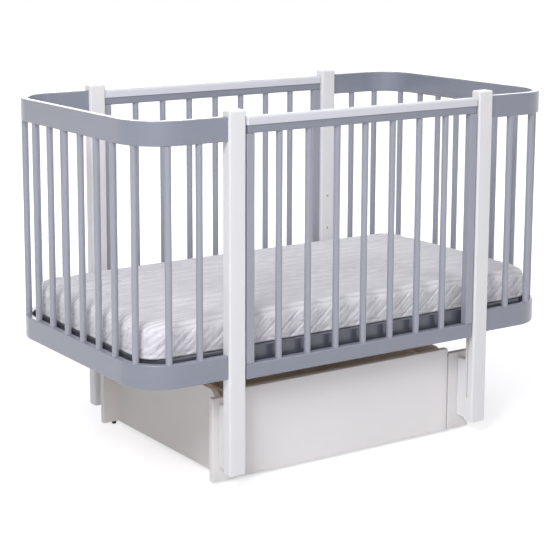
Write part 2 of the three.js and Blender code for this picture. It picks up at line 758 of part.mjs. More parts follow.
function addDrawer() {
  const frontBack = -BOARD_BACK_Y;
  const end = BASE_BACK_Y - DRAWER_BACK_SPACE;
  const inner = DRAWER_BOX_X - DRAWER_WALL;
  const front = softBox(
    [-DRAWER_X, -BOARD_FACE_Y, DRAWER_FRONT_UP],
    [DRAWER_X, frontBack, DRAWER_FRONT_UP + DRAWER_FRONT_TALL],
    BOARD_ROUND,
  );
  add(base, "drawer_front", front, materials.white_board);
  for (const [name, side] of [["left", -1], ["right", 1]]) {
    const x0 = Math.min(side * inner, side * DRAWER_BOX_X);
    const wall = box([x0, frontBack, DRAWER_BOX_UP], [x0 + DRAWER_WALL, end, DRAWER_BOX_TOP]);
    add(base, "drawer_side_" + name, wall, materials.white_board);
    add(base, "drawer_runner_bar_" + name, runnerBar(side), materials.white_paint);
  }
  const bottomTop = DRAWER_BOX_UP + DRAWER_BOTTOM;
  const bottom = box([-inner, frontBack, DRAWER_BOX_UP], [inner, end, bottomTop]);
  const back = box([-inner, end - DRAWER_WALL, bottomTop], [inner, end, DRAWER_BOX_TOP]);
  add(base, "drawer_bottom", bottom, materials.white_board);
  add(base, "drawer_back", back, materials.white_board);
}

function addCabinet() {
  for (const corner of corners) {
    add(base, "corner_board_" + corner.name, cornerBoard(corner), materials.white_board);
    add(base, "foot_" + corner.name, foot(corner), materials.black_rubber);
    add(base, "upper_pin_" + corner.name, upperPin(corner), materials.steel);
    add(base, "link_" + corner.name, link(corner), materials.white_paint);
  }
  for (const [name, side] of [["left", -1], ["right", 1]]) {
    add(base, "base_side_" + name, sidePanel(side), materials.white_board);
    add(base, "runner_rail_" + name, runnerRail(side), materials.white_paint);
    add(base, "drawer_bumper_" + name, bumper(side), materials.black_rubber);
  }
  add(base, "base_back", backPanel(), materials.white_board);
}

function addCribFrame() {
  for (const corner of corners) {
    add(crib, "post_" + corner.name, post(corner), materials.white_paint);
    add(crib, "bed_bolt_" + corner.name, bedBolt(corner), materials.steel);
    add(crib, "lower_pin_" + corner.name, lowerPin(corner), materials.steel);
  }
  add(crib, "bed_base", bedBase(), materials.grey_paint);
  add(crib, "mattress", mattress(), materials.quilted_fabric);
}

addCribFrame();
addEnds();
addLongSides();
addCabinet();
addDrawer();

const pendulumCrib = new THREE.Group();
pendulumCrib.name = "pendulum_crib";
pendulumCrib.add(base, crib);

export default pendulumCrib;
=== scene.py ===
"""A pendulum crib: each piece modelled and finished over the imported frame, in metres."""

import json
import logging
from collections.abc import Callable, Iterator, Sequence
from contextlib import contextmanager
from dataclasses import dataclass, field
from enum import Enum
from math import atan, cos, pi, radians, sin, sqrt

import bmesh
import bpy
import numpy as np
from mathutils import Matrix, Vector

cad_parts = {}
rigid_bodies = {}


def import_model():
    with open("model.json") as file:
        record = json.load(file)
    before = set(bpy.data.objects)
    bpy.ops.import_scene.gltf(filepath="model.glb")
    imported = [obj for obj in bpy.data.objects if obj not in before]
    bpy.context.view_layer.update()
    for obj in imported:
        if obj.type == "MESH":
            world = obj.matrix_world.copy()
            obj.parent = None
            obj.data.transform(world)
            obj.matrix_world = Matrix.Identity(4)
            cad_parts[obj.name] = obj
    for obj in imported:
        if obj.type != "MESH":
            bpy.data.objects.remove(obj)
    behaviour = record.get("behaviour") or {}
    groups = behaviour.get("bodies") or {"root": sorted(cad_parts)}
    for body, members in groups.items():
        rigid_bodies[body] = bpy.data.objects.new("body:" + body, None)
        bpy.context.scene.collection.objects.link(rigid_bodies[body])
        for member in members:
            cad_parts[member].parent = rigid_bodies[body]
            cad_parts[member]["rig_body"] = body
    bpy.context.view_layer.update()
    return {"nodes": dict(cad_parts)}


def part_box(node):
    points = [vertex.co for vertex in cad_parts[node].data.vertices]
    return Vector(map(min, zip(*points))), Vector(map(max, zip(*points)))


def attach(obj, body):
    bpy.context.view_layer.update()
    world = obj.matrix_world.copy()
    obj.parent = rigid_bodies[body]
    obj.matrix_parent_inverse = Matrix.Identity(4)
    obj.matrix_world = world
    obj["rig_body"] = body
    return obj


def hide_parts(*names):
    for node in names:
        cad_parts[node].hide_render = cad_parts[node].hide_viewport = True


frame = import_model()

logging.basicConfig(level=logging.INFO, format="%(message)s")
LOG = logging.getLogger("crib")

MM = 0.001
# Places nearer to each other than this, in metres, count as the same.
NEAR = 1e-5
# Points nearer to each other than this, in metres, are merged.
WELD = 5e-6
# A cutter reaches this far past the piece that it cuts.
PAST = 20 * MM

Piece = bpy.types.Object
Place = Callable[[Vector], bool]


class Axis(Enum):
    """The direction that a turned piece or a bore runs in, with its turn from upright."""

    X = (0.0, pi / 2, 0.0)
    Y = (pi / 2, 0.0, 0.0)
    Z = (0.0, 0.0, 0.0)


class Grain(Enum):
    """Which way the wood's fibres run: how much each direction is squeezed in the grain pattern."""

    LEVEL = (0.04, 0.04, 1.0)
    UPRIGHT = (1.0, 1.0, 0.04)


class Corner(Enum):
    """A corner of the crib, as the signs that carry the front left one there."""

    FRONT_LEFT = (1, 1)
    FRONT_RIGHT = (-1, 1)
    BACK_LEFT = (1, -1)
    BACK_RIGHT = (-1, -1)

    @property
    def label(self) -> str:
        """The corner's name as the frame's nodes have it."""
        return self.name.lower()

    @property
    def mirror(self) -> Matrix:
        """The matrix that carries a front left piece to this corner."""
        return Matrix.Diagonal((self.value[0], self.value[1], 1, 1))


class Side(Enum):
    """The left or right of the crib, as the sign that carries a left piece there."""

    LEFT = 1
    RIGHT = -1

    @property
    def label(self) -> str:
        """The side's name as the frame's nodes have it."""
        return self.name.lower()

    @property
    def mirror(self) -> Matrix:
        """The matrix that carries a left piece to this side."""
        return Matrix.Diagonal((self.value, 1, 1, 1))


def mm(*values: float) -> Vector:
    """Millimetres as a vector in metres."""
    return Vector(values) * MM


def select_only(*pieces: Piece) -> None:
    """Select these pieces and nothing else, and make the first one active.

    Args:
        pieces: what to select, or none.
    """
    if bpy.context.mode != "OBJECT":
        bpy.ops.object.mode_set(mode="OBJECT")
    bpy.ops.object.select_all(action="DESELECT")
    for piece in pieces:
        piece.select_set(True)
    if pieces:
        bpy.context.view_layer.objects.active = pieces[0]


@contextmanager
def editing(piece: Piece, kind: str = "EDGE") -> Iterator[None]:
    """Edit mode on one piece with nothing selected, and back to object mode at the end.

    Args:
        piece: the piece to edit.
        kind: what is selected in it, VERT, EDGE or FACE.
    """
    select_only(piece)
    bpy.ops.object.mode_set(mode="EDIT")
    bpy.ops.mesh.select_mode(type=kind)
    bpy.ops.mesh.select_all(action="DESELECT")
    try:
        yield
    finally:
        bpy.ops.object.mode_set(mode="OBJECT")


def pick(piece: Piece, kind: str, test: Place) -> None:
    """In edit mode, select the vertices, edges or faces whose vertices all pass a test of place.

    Args:
        piece: the piece in edit mode.
        kind: VERT, EDGE or FACE.
        test: says of a point whether it counts.
    """
    mesh = bmesh.from_edit_mesh(piece.data)
    bpy.ops.mesh.select_all(action="DESELECT")
    inside = {vert.index: test(vert.co) for vert in mesh.verts}
    mesh.verts.index_update()
    group = {"VERT": mesh.verts, "EDGE": mesh.edges, "FACE": mesh.faces}[kind]
    for part in group:
        corners = [part] if kind == "VERT" else part.verts
        if all(inside[vert.index] for vert in corners):
            part.select_set(True)
    mesh.select_flush_mode()
    bmesh.update_edit_mesh(piece.data)


def round_edges(piece: Piece, test: Place, radius: float, steps: int = 4, upright: bool = False) -> None:
    """Round the edges that lie where a test says.

    Args:
        piece: the piece to shape.
        test: says of a point whether an edge that ends there counts.
        radius: the rounding in metres.
        steps: faces across the rounding; one makes a chamfer.
        upright: take only edges that stand along Z.
    """
    with editing(piece):
        pick(piece, "EDGE", test)
        if upright:
            mesh = bmesh.from_edit_mesh(piece.data)
            for edge in mesh.edges:
                flat = (edge.verts[0].co - edge.verts[1].co).xy.length > NEAR
                if edge.select and flat:
                    edge.select_set(False)
            bmesh.update_edit_mesh(piece.data)
        bpy.ops.mesh.bevel(offset=radius, segments=steps, affect="EDGES")


def everywhere(_: Vector) -> bool:
    """A test of place that every point passes."""
    return True


def block(name: str, low: Sequence[float], high: Sequence[float], edge: float = 0.0, steps: int = 3) -> Piece:
    """Add a cube at its size and place, and round its edges.

    Args:
        name: the piece's name.
        low: its lowest corner in metres.
        high: its highest corner in metres.
        edge: the rounding of all its edges in metres, or 0 for none yet.
        steps: faces across the rounding.

    Returns:
        The new piece, with its place in its mesh.
    """
    low, high = Vector(low), Vector(high)
    select_only()
    bpy.ops.mesh.primitive_cube_add(size=1, location=(low + high) / 2, scale=high - low)
    piece = bpy.context.active_object
    piece.name = piece.data.name = name
    bpy.ops.object.transform_apply(location=True, rotation=True, scale=True)
    if edge:
        round_edges(piece, everywhere, edge, steps)
    return piece


def rod(name: str, middle: Sequence[float], length: float, diameter: float, axis: Axis,
        rims: float = 0.0, sides: int = 28) -> Piece:
    """Add a turned bar and round the rims at its two ends.

    Args:
        name: the piece's name.
        middle: its middle in metres.
        length: its length in metres.
        diameter: its diameter in metres.
        axis: the direction that it runs in.
        rims: the rounding of its two rims in metres.
        sides: faces round it.

    Returns:
        The new piece, with its place in its mesh.
    """
    select_only()
    turned = {"vertices": sides, "radius": diameter / 2, "depth": length, "rotation": axis.value}
    bpy.ops.mesh.primitive_cylinder_add(**turned)
    piece = bpy.context.active_object
    piece.name = piece.data.name = name
    bpy.ops.object.transform_apply(location=False, rotation=True, scale=True)
    if rims:
        way = "XYZ".index(axis.name)
        for end in (-1, 1):
            round_edges(piece, lambda at, e=end: abs(at[way] - e * length / 2) < NEAR, rims, 3)
    piece.location = middle
    bpy.ops.object.transform_apply(location=True, rotation=False, scale=False)
    return piece


def carve(piece: Piece, *tools: Piece, keep_common: bool = False) -> Piece:
    """Cut the tools out of a piece and throw them away.

    Args:
        piece: the piece to cut.
        tools: what is cut out of it, or what it is trimmed to.
        keep_common: keep what lies inside the tools instead.

    Returns:
        The same piece.
    """
    for tool in tools:
        select_only(piece)
        trim = piece.modifiers.new("carve", "BOOLEAN")
        trim.operation = "INTERSECT" if keep_common else "DIFFERENCE"
        trim.solver = "EXACT"
        trim.object = tool
        bpy.ops.object.modifier_apply(modifier=trim.name)
        bpy.data.objects.remove(tool)
    return piece


def copied(piece: Piece, name: str, matrix: Matrix) -> Piece:
    """Copy a piece with its own mesh, carried by a matrix.

    Args:
        piece: what is copied.
        name: the copy's name.
        matrix: where the copy's mesh goes.

    Returns:
        The copy.
    """
    twin = piece.copy()
    twin.data = piece.data.copy()
    twin.name = twin.data.name = name
    twin.data.transform(matrix)
    bpy.context.collection.objects.link(twin)
    return twin


def joined(first: Piece, *others: Piece) -> Piece:
    """Join pieces into one.

    Args:
        first: the piece that takes the others up.
        others: the pieces that go into it.

    Returns:
        The first piece.
    """
    if others:
        select_only(first, *others)
        bpy.ops.object.join()
    return first


def throw_away(*patterns: Piece) -> None:
    """Remove pieces that were only patterns for copies."""
    for pattern in patterns:
        bpy.data.objects.remove(pattern)


def dress(piece: Piece, finish: bpy.types.Material) -> Piece:
    """Give a piece one material in place of any that it has.

    Args:
        piece: the piece to dress.
        finish: its material.

    Returns:
        The same piece.
    """
    piece.data.materials.clear()
    piece.data.materials.append(finish)
    return piece


def settle(piece: Piece, nodes: Sequence[str], finish: bpy.types.Material | None,
           smooth: float = 42.0) -> Piece:
    """Finish a piece's faces, dress it, and let it stand for the frame's nodes.

    Args:
        piece: the finished shape.
        nodes: the nodes that it stands for; it rides on the body of the first.
        finish: its material, or None where its parts have theirs already.
        smooth: the sharpest turn in degrees that is still shaded smooth.

    Returns:
        The same piece.
    """
    select_only(piece)
    bpy.ops.object.transform_apply(location=True, rotation=True, scale=True)
    with editing(piece, "VERT"):
        bpy.ops.mesh.select_all(action="SELECT")
        bpy.ops.mesh.remove_doubles(threshold=WELD)
        bpy.ops.mesh.normals_make_consistent(inside=False)
    select_only(piece)
    bpy.ops.object.shade_smooth_by_angle(angle=radians(smooth))
    even = piece.modifiers.new("even_faces", "WEIGHTED_NORMAL")
    even.keep_sharp = True
    bpy.ops.object.modifier_apply(modifier=even.name)
    if finish:
        dress(piece, finish)
    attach(piece, frame["nodes"][nodes[0]]["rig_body"])
    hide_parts(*nodes)
    LOG.info("%s: %d faces for %s", piece.name, len(piece.data.polygons), ", ".join(nodes))
    return piece


def linear(colour: str) -> tuple[float, float, float, float]:
    """An sRGB hex colour as linear red, green, blue and alpha."""
    parts = [int(colour[i:i + 2], 16) / 255 for i in (1, 3, 5)]
    return (*(p / 12.92 if p <= 0.04045 else ((p + 0.055) / 1.055) ** 2.4 for p in parts), 1.0)


def scale_for(size_mm: float) -> float:
    """The scale that gives a noise pattern this size in millimetres."""
    return 1 / (size_mm * MM)


def node(tree: bpy.types.NodeTree, kind: str, inputs: dict | None = None,
         **settings: object) -> bpy.types.Node:
    """Add a node to a material, with its settings, its values and what feeds it.

    Args:
        tree: the material's node tree.
        kind: the node's type name.
        inputs: for each input, by name or number, a value or another node's output.
        settings: the node's own settings.

    Returns:
        The new node.
    """
    made = tree.nodes.new(kind)
    for name, value in settings.items():
        setattr(made, name, value)
    for key, value in (inputs or {}).items():
        if isinstance(value, bpy.types.NodeSocket):
            tree.links.new(value, made.inputs[key])
        else:
            made.inputs[key].default_value = value
    return made


def begin_material(name: str) -> tuple[bpy.types.Material, bpy.types.NodeTree]:
    """Add a material with an empty node tree.

    Args:
        name: the material's name.

    Returns:
        The material and its node tree.
    """
    material = bpy.data.materials.new(name)
    material.use_nodes = True
    material.node_tree.nodes.clear()
    return material, material.node_tree


def close_material(tree: bpy.types.NodeTree, sockets: dict) -> None:
    """Add the surface shader with its values and feeds, and the output."""
    shader = node(tree, "ShaderNodeBsdfPrincipled", sockets)
    node(tree, "ShaderNodeOutputMaterial", {"Surface": shader.outputs[0]})


@dataclass(frozen=True)
class SatinPaint:
    """Satin lacquer, coloured or clear, sprayed on planed or turned beech.

    The eye gets an even colour with a soft broad shine, a faint orange peel, and beech fibres that just show
    through.
    """

    title: str
    colour: str
    shade: str
    roughness: float
    grain: Grain
    fibre_mm: float = 1.4
    fibre_deep_mm: float = 0.12
    peel_mm: float = 2.6
    peel_deep_mm: float = 0.2
    cloud_mm: float = 35.7
    ior: float = 1.48
    coat: float = 0.6
    coat_roughness: float = 0.15

    def make(self) -> bpy.types.Material:
        """Build the material.

        Returns:
            The material.
        """
        material, tree = begin_material(self.title)
        place = node(tree, "ShaderNodeTexCoord").outputs["Object"]
        along = node(tree, "ShaderNodeMapping", {"Vector": place, "Scale": self.grain.value})
        # Beech fibres are about 0.3 mm wide; they are drawn coarser so that they still show.
        fibres = node(tree, "ShaderNodeTexNoise", {
            "Vector": along.outputs[0], "Scale": scale_for(self.fibre_mm), "Detail": 3.0, "Roughness": 0.6})
        peel = node(tree, "ShaderNodeTexNoise", {
            "Vector": place, "Scale": scale_for(self.peel_mm), "Detail": 1.0})
        cloud = node(tree, "ShaderNodeTexNoise", {
            "Vector": along.outputs[0], "Scale": scale_for(self.cloud_mm), "Detail": 2.0})
        streaks = node(tree, "ShaderNodeMapRange", {
            "Value": fibres.outputs[0], "From Min": 0.35, "From Max": 0.8, "To Min": 0.0, "To Max": 0.35})
        patches = node(tree, "ShaderNodeMath", {0: cloud.outputs[0], 1: 0.45}, operation="MULTIPLY")
        share = node(tree, "ShaderNodeMath", {0: patches.outputs[0], 1: streaks.outputs[0]}, operation="ADD")
        colour = node(tree, "ShaderNodeMix", {
            "Factor": share.outputs[0], "A": linear(self.colour), "B": linear(self.shade)}, data_type="RGBA")
        rough = node(tree, "ShaderNodeMapRange", {
            "Value": cloud.outputs[0], "From Min": 0.3, "From Max": 0.7,
            "To Min": self.roughness - 0.04, "To Max": self.roughness + 0.05})
        grain_bump = node(tree, "ShaderNodeBump", {
            "Height": fibres.outputs[0], "Strength": 0.22, "Distance": self.fibre_deep_mm * MM})
        peel_bump = node(tree, "ShaderNodeBump", {
            "Height": peel.outputs[0], "Strength": 0.16, "Distance": self.peel_deep_mm * MM,
            "Normal": grain_bump.outputs[0]})
        close_material(tree, {
            "Base Color": colour.outputs[2], "Roughness": rough.outputs[0], "IOR": self.ior,
            "Normal": peel_bump.outputs[0], "Coat Weight": self.coat, "Coat Roughness": self.coat_roughness})
        return material


@dataclass(frozen=True)
class FoilBoard:
    """Melamine-faced board: a flat white face with a fine pearl press in it and a dull even shine."""

    title: str
    colour: str
    shade: str
    roughness: float = 0.46
    pearl_mm: float = 1.8
    pearl_deep_mm: float = 0.1
    cloud_mm: float = 111.0
    ior: float = 1.5

    def make(self) -> bpy.types.Material:
        """Build the material.

        Returns:
            The material.
        """
        material, tree = begin_material(self.title)
        place = node(tree, "ShaderNodeTexCoord").outputs["Object"]
        # The press in real melamine is about 0.4 mm; it is drawn coarser so that it still shows.
        pearl = node(tree, "ShaderNodeTexNoise", {
            "Vector": place, "Scale": scale_for(self.pearl_mm), "Detail": 2.0})
        cloud = node(tree, "ShaderNodeTexNoise", {
            "Vector": place, "Scale": scale_for(self.cloud_mm), "Detail": 2.0})
        colour = node(tree, "ShaderNodeMix", {
            "Factor": cloud.outputs[0], "A": linear(self.colour), "B": linear(self.shade)}, data_type="RGBA")
        rough = node(tree, "ShaderNodeMapRange", {
            "Value": pearl.outputs[0], "From Min": 0.3, "From Max": 0.7,
            "To Min": self.roughness - 0.05, "To Max": self.roughness + 0.06})
        bump = node(tree, "ShaderNodeBump", {
            "Height": pearl.outputs[0], "Strength": 0.12, "Distance": self.pearl_deep_mm * MM})
        close_material(tree, {
            "Base Color": colour.outputs[2], "Roughness": rough.outputs[0], "IOR": self.ior,
            "Normal": bump.outputs[0]})
        return material


@dataclass(frozen=True)
class TeethingPlastic:
    """Clear soft vinyl, moulded: milky where it is seen edge on, with a soft shine and slight flow marks."""

    title: str
    colour: str
    roughness: float = 0.45
    flow_mm: float = 9.0
    flow_deep_mm: float = 0.3
    flow_stretch: float = 0.15
    clearness: float = 0.05
    ior: float = 1.5

    def make(self) -> bpy.types.Material:
        """Build the material.

        Returns:
            The material.
        """
        material, tree = begin_material(self.title)
        place = node(tree, "ShaderNodeTexCoord").outputs["Object"]
        along = node(tree, "ShaderNodeMapping", {"Vector": place, "Scale": (self.flow_stretch, 1.0, 1.0)})
        flow = node(tree, "ShaderNodeTexNoise", {
            "Vector": along.outputs[0], "Scale": scale_for(self.flow_mm), "Detail": 2.0})
        rough = node(tree, "ShaderNodeMapRange", {
            "Value": flow.outputs[0], "From Min": 0.3, "From Max": 0.7,
            "To Min": self.roughness - 0.05, "To Max": self.roughness + 0.07})
        bump = node(tree, "ShaderNodeBump", {
            "Height": flow.outputs[0], "Strength": 0.08, "Distance": self.flow_deep_mm * MM})
        close_material(tree, {
            "Base Color": linear(self.colour), "Roughness": rough.outputs[0], "IOR": self.ior,
            "Transmission Weight": self.clearness, "Normal": bump.outputs[0]})
        return material


@dataclass(frozen=True)
class QuiltedKnit:
    """White polyester knit quilted on wadding: matt and soft, with narrow waving ridges and a fine stitch.

    On top the ridges run along the mattress; round its border they slant. The seams and creases between them
    are coloured darker, as painted shade.
    """

    title: str
    colour: str
    shade: str
    roughness: float = 0.9
    sheen: float = 0.25
    sheen_roughness: float = 0.5
    ridge_mm: float = 13.6
    ridge_deep_mm: float = 2.2
    wander_mm: tuple[float, float] = (62.5, 200.0)
    sway_mm: float = 16.0
    crease_mm: float = 8.0
    crease_long: float = 6.0
    pucker_mm: float = 18.2
    pucker_deep_mm: float = 2.0
    stitch_mm: float = 2.2
    stitch_deep_mm: float = 0.4
    top_mm: float = 402.0
    turn_mm: float = 4.0

    def ridges_on_top(self, tree: bpy.types.NodeTree, place: bpy.types.NodeSocket) -> bpy.types.NodeSocket:
        """Add the ridges that run along the mattress and wave a few millimetres to and fro.

        Args:
            tree: the material's node tree.
            place: the place on the mattress.

        Returns:
            The ridges' height from 0 in a seam to 1 on a ridge.
        """
        across = node(tree, "ShaderNodeSeparateXYZ", {"Vector": place}).outputs["Y"]
        long, wide = (scale_for(size) for size in self.wander_mm)
        slow = node(tree, "ShaderNodeMapping", {"Vector": place, "Scale": (long, wide, 0.0)})
        wander = node(tree, "ShaderNodeTexNoise", {"Vector": slow.outputs[0], "Scale": 1.0, "Detail": 1.0})
        reach = self.sway_mm * MM
        sway = node(tree, "ShaderNodeMath", {0: wander.outputs[0], 1: reach}, operation="MULTIPLY")
        swayed = node(tree, "ShaderNodeMath", {0: across, 1: sway.outputs[0]}, operation="ADD")
        half_turns = pi * scale_for(self.ridge_mm)
        phase = node(tree, "ShaderNodeMath", {0: swayed.outputs[0], 1: half_turns}, operation="MULTIPLY")
        wave = node(tree, "ShaderNodeMath", {0: phase.outputs[0]}, operation="SINE")
        arch = node(tree, "ShaderNodeMath", {0: wave.outputs[0]}, operation="ABSOLUTE")
        return node(tree, "ShaderNodeMath", {0: arch.outputs[0], 1: 0.6}, operation="POWER").outputs[0]

    def creases_round_border(self, tree: bpy.types.NodeTree,
                             place: bpy.types.NodeSocket) -> bpy.types.NodeSocket:
        """Add the border's ridges, which slant and run into each other.

        They run as far forward and as far up as they run to the right, so on the front and on the left side
        they rise to the right.

        Args:
            tree: the material's node tree.
            place: the place on the mattress.

        Returns:
            The ridges' height.
        """
        rise = atan(1 / sqrt(2))
        slanted = node(tree, "ShaderNodeMapping", {
            "Vector": place, "Rotation": (0.0, -rise, -pi / 4), "Scale": (self.crease_long, 1.0, 1.0)},
            vector_type="TEXTURE")
        folds = node(tree, "ShaderNodeTexNoise", {
            "Vector": slanted.outputs[0], "Scale": scale_for(self.crease_mm),
            "Detail": 1.0, "Roughness": 0.4})
        crease = node(tree, "ShaderNodeMapRange", {
            "Value": folds.outputs[0], "From Min": 0.28, "From Max": 0.5, "To Min": 0.3, "To Max": 0.85})
        return crease.outputs[0]

    def make(self) -> bpy.types.Material:
        """Build the material.

        Returns:
            The material.
        """
        material, tree = begin_material(self.title)
        place = node(tree, "ShaderNodeTexCoord").outputs["Object"]
        up = node(tree, "ShaderNodeSeparateXYZ", {"Vector": place}).outputs["Z"]
        top = node(tree, "ShaderNodeMapRange", {
            "Value": up, "From Min": (self.top_mm - self.turn_mm) * MM,
            "From Max": (self.top_mm + self.turn_mm) * MM})
        seen = node(tree, "ShaderNodeMix", {
            "Factor": top.outputs[0], "A": self.creases_round_border(tree, place),
            "B": self.ridges_on_top(tree, place)}, data_type="FLOAT")
        # A real knit's stitches are about 0.8 mm; they are drawn coarser so that they still show.
        knit = node(tree, "ShaderNodeTexNoise", {
            "Vector": place, "Scale": scale_for(self.stitch_mm), "Detail": 2.0})
        pucker = node(tree, "ShaderNodeTexNoise", {
            "Vector": place, "Scale": scale_for(self.pucker_mm), "Detail": 3.0})
        # Painted shade: the knit is coloured darker in the seams between the top's ridges and in the border's
        # creases, and lighter on the ridges.
        colour = node(tree, "ShaderNodeMix", {
            "Factor": seen.outputs[0], "A": linear(self.shade), "B": linear(self.colour)}, data_type="RGBA")
        ridges = node(tree, "ShaderNodeBump", {
            "Height": seen.outputs[0], "Strength": 0.75, "Distance": self.ridge_deep_mm * MM})
        puckers = node(tree, "ShaderNodeBump", {
            "Height": pucker.outputs[0], "Strength": 0.35, "Distance": self.pucker_deep_mm * MM,
            "Normal": ridges.outputs[0]})
        stitches = node(tree, "ShaderNodeBump", {
            "Height": knit.outputs[0], "Strength": 0.25, "Distance": self.stitch_deep_mm * MM,
            "Normal": puckers.outputs[0]})
        close_material(tree, {
            "Base Color": colour.outputs[2], "Roughness": self.roughness, "Sheen Weight": self.sheen,
            "Sheen Roughness": self.sheen_roughness, "Normal": stitches.outputs[0]})
        return material


@dataclass(frozen=True)
class ZincSteel:
    """Zinc-plated steel, rolled and drawn: a grey metal shine, slightly clouded, with fine drawing lines."""

    title: str
    colour: str
    shade: str
    roughness: float = 0.34
    cloud_mm: float = 6.25
    line_mm: float = 0.67
    line_stretch: float = 0.05
    line_deep_mm: float = 0.1

    def make(self) -> bpy.types.Material:
        """Build the material.

        Returns:
            The material.
        """
        material, tree = begin_material(self.title)
        place = node(tree, "ShaderNodeTexCoord").outputs["Object"]
        cloud = node(tree, "ShaderNodeTexNoise", {
            "Vector": place, "Scale": scale_for(self.cloud_mm), "Detail": 3.0})
        drawn = node(tree, "ShaderNodeMapping", {"Vector": place, "Scale": (1.0, self.line_stretch, 1.0)})
        # Real drawing lines are too fine to show at this size, so they are drawn coarser.
        lines = node(tree, "ShaderNodeTexNoise", {
            "Vector": drawn.outputs[0], "Scale": scale_for(self.line_mm), "Detail": 2.0})
        colour = node(tree, "ShaderNodeMix", {
            "Factor": cloud.outputs[0], "A": linear(self.colour), "B": linear(self.shade)}, data_type="RGBA")
        rough = node(tree, "ShaderNodeMapRange", {
            "Value": lines.outputs[0], "From Min": 0.3, "From Max": 0.7,
            "To Min": self.roughness - 0.08, "To Max": self.roughness + 0.1})
        bump = node(tree, "ShaderNodeBump", {
            "Height": lines.outputs[0], "Strength": 0.1, "Distance": self.line_deep_mm * MM})
        close_material(tree, {
            "Base Color": colour.outputs[2], "Metallic": 1.0, "Roughness": rough.outputs[0],
            "Normal": bump.outputs[0]})
        return material


@dataclass(frozen=True)
class BlackRubber:
    """Moulded black rubber: dull and almost black, with a fine matt texture and a little dust."""

    title: str
    colour: str
    dust: str
    roughness: float = 0.82
    grit_mm: float = 0.7
    grit_deep_mm: float = 0.2
    dust_mm: float = 4.5

    def make(self) -> bpy.types.Material:
        """Build the material.

        Returns:
            The material.
        """
        material, tree = begin_material(self.title)
        place = node(tree, "ShaderNodeTexCoord").outputs["Object"]
        grit = node(tree, "ShaderNodeTexNoise", {
            "Vector": place, "Scale": scale_for(self.grit_mm), "Detail": 2.0})
        cloud = node(tree, "ShaderNodeTexNoise", {
            "Vector": place, "Scale": scale_for(self.dust_mm), "Detail": 3.0})
        patch = node(tree, "ShaderNodeMapRange", {
            "Value": cloud.outputs[0], "From Min": 0.5, "From Max": 0.8, "To Max": 0.5})
        colour = node(tree, "ShaderNodeMix", {
            "Factor": patch.outputs[0], "A": linear(self.colour), "B": linear(self.dust)}, data_type="RGBA")
        bump = node(tree, "ShaderNodeBump", {
            "Height": grit.outputs[0], "Strength": 0.3, "Distance": self.grit_deep_mm * MM})
        close_material(tree, {
            "Base Color": colour.outputs[2], "Roughness": self.roughness, "Normal": bump.outputs[0]})
        return material


@dataclass
class Finishes:
    """Every finish on the crib, made once."""

    grey_level: bpy.types.Material = field(init=False)
    grey_upright: bpy.types.Material = field(init=False)
    grey_frame: bpy.types.Material = field(init=False)
    beech: bpy.types.Material = field(init=False)
    white_upright: bpy.types.Material = field(init=False)
    white_level: bpy.types.Material = field(init=False)
    board: bpy.types.Material = field(init=False)
    vinyl: bpy.types.Material = field(init=False)
    knit: bpy.types.Material = field(init=False)
    zinc: bpy.types.Material = field(init=False)
    rubber: bpy.types.Material = field(init=False)

    def __post_init__(self) -> None:
        """Make the materials."""
        level, upright = Grain.LEVEL, Grain.UPRIGHT
        self.grey_level = SatinPaint("grey_lacquer_level", "#8b8f9b", "#838793", 0.34, level).make()
        # Painted light: the upright grey is the level grey lacquer painted a shade lighter, for the sheen
        # that the round dowels catch; the stiles wear it too.
        self.grey_upright = SatinPaint("grey_lacquer_upright", "#a0a2ad", "#989aa5", 0.34, upright).make()
        # Painted shade: the bed frame's grey is the same lacquer painted much darker, for the shade it sits
        # in under the mattress and behind the rails and bands.
        self.grey_frame = SatinPaint("grey_lacquer_bed_frame", "#555963", "#4f535d", 0.4, level).make()
        self.beech = SatinPaint("clear_lacquered_beech", "#e2c7a4", "#cfae86", 0.42, level).make()
        self.white_upright = SatinPaint("white_lacquer_upright", "#eeeeed", "#e9e9e8", 0.36, upright).make()
        self.white_level = SatinPaint("white_lacquer_level", "#eeeeed", "#e9e9e8", 0.36, level).make()
        self.board = FoilBoard("white_melamine_board", "#f5f2f0", "#f0edea").make()
        self.vinyl = TeethingPlastic("clear_teething_vinyl", "#e2e3e8").make()
        # The knit's second colour is the painted shade in its seams and creases.
        self.knit = QuiltedKnit("quilted_polyester_knit", "#eeecee", "#d7d6da").make()
        self.zinc = ZincSteel("zinc_plated_steel", "#c2c4c6", "#a4a8ac").make()
        self.rubber = BlackRubber("black_rubber", "#131314", "#3a3a3b").make()


@dataclass(frozen=True)
class Dowel:
    """A turned dowel, which stands in a lower member and ends under an upper one."""

    thick: float = 16.4 * MM
    joint: float = 5 * MM
    rim: float = 0.4 * MM

    def turn(self, y: float, lower: float, upper: float, finish: bpy.types.Material) -> Piece:
        """Turn one dowel at the middle of the crib's length and paint it.

        Args:
            y: where it stands across the crib.
            lower: the top of the member that it stands in.
            upper: the underside of the member over it.
            finish: its paint.

        Returns:
            The dowel.
        """
        foot = lower - self.joint
        middle = (0, y, (foot + upper) / 2)
        return dress(rod("dowel", middle, upper - foot, self.thick, Axis.Z, rims=self.rim), finish)


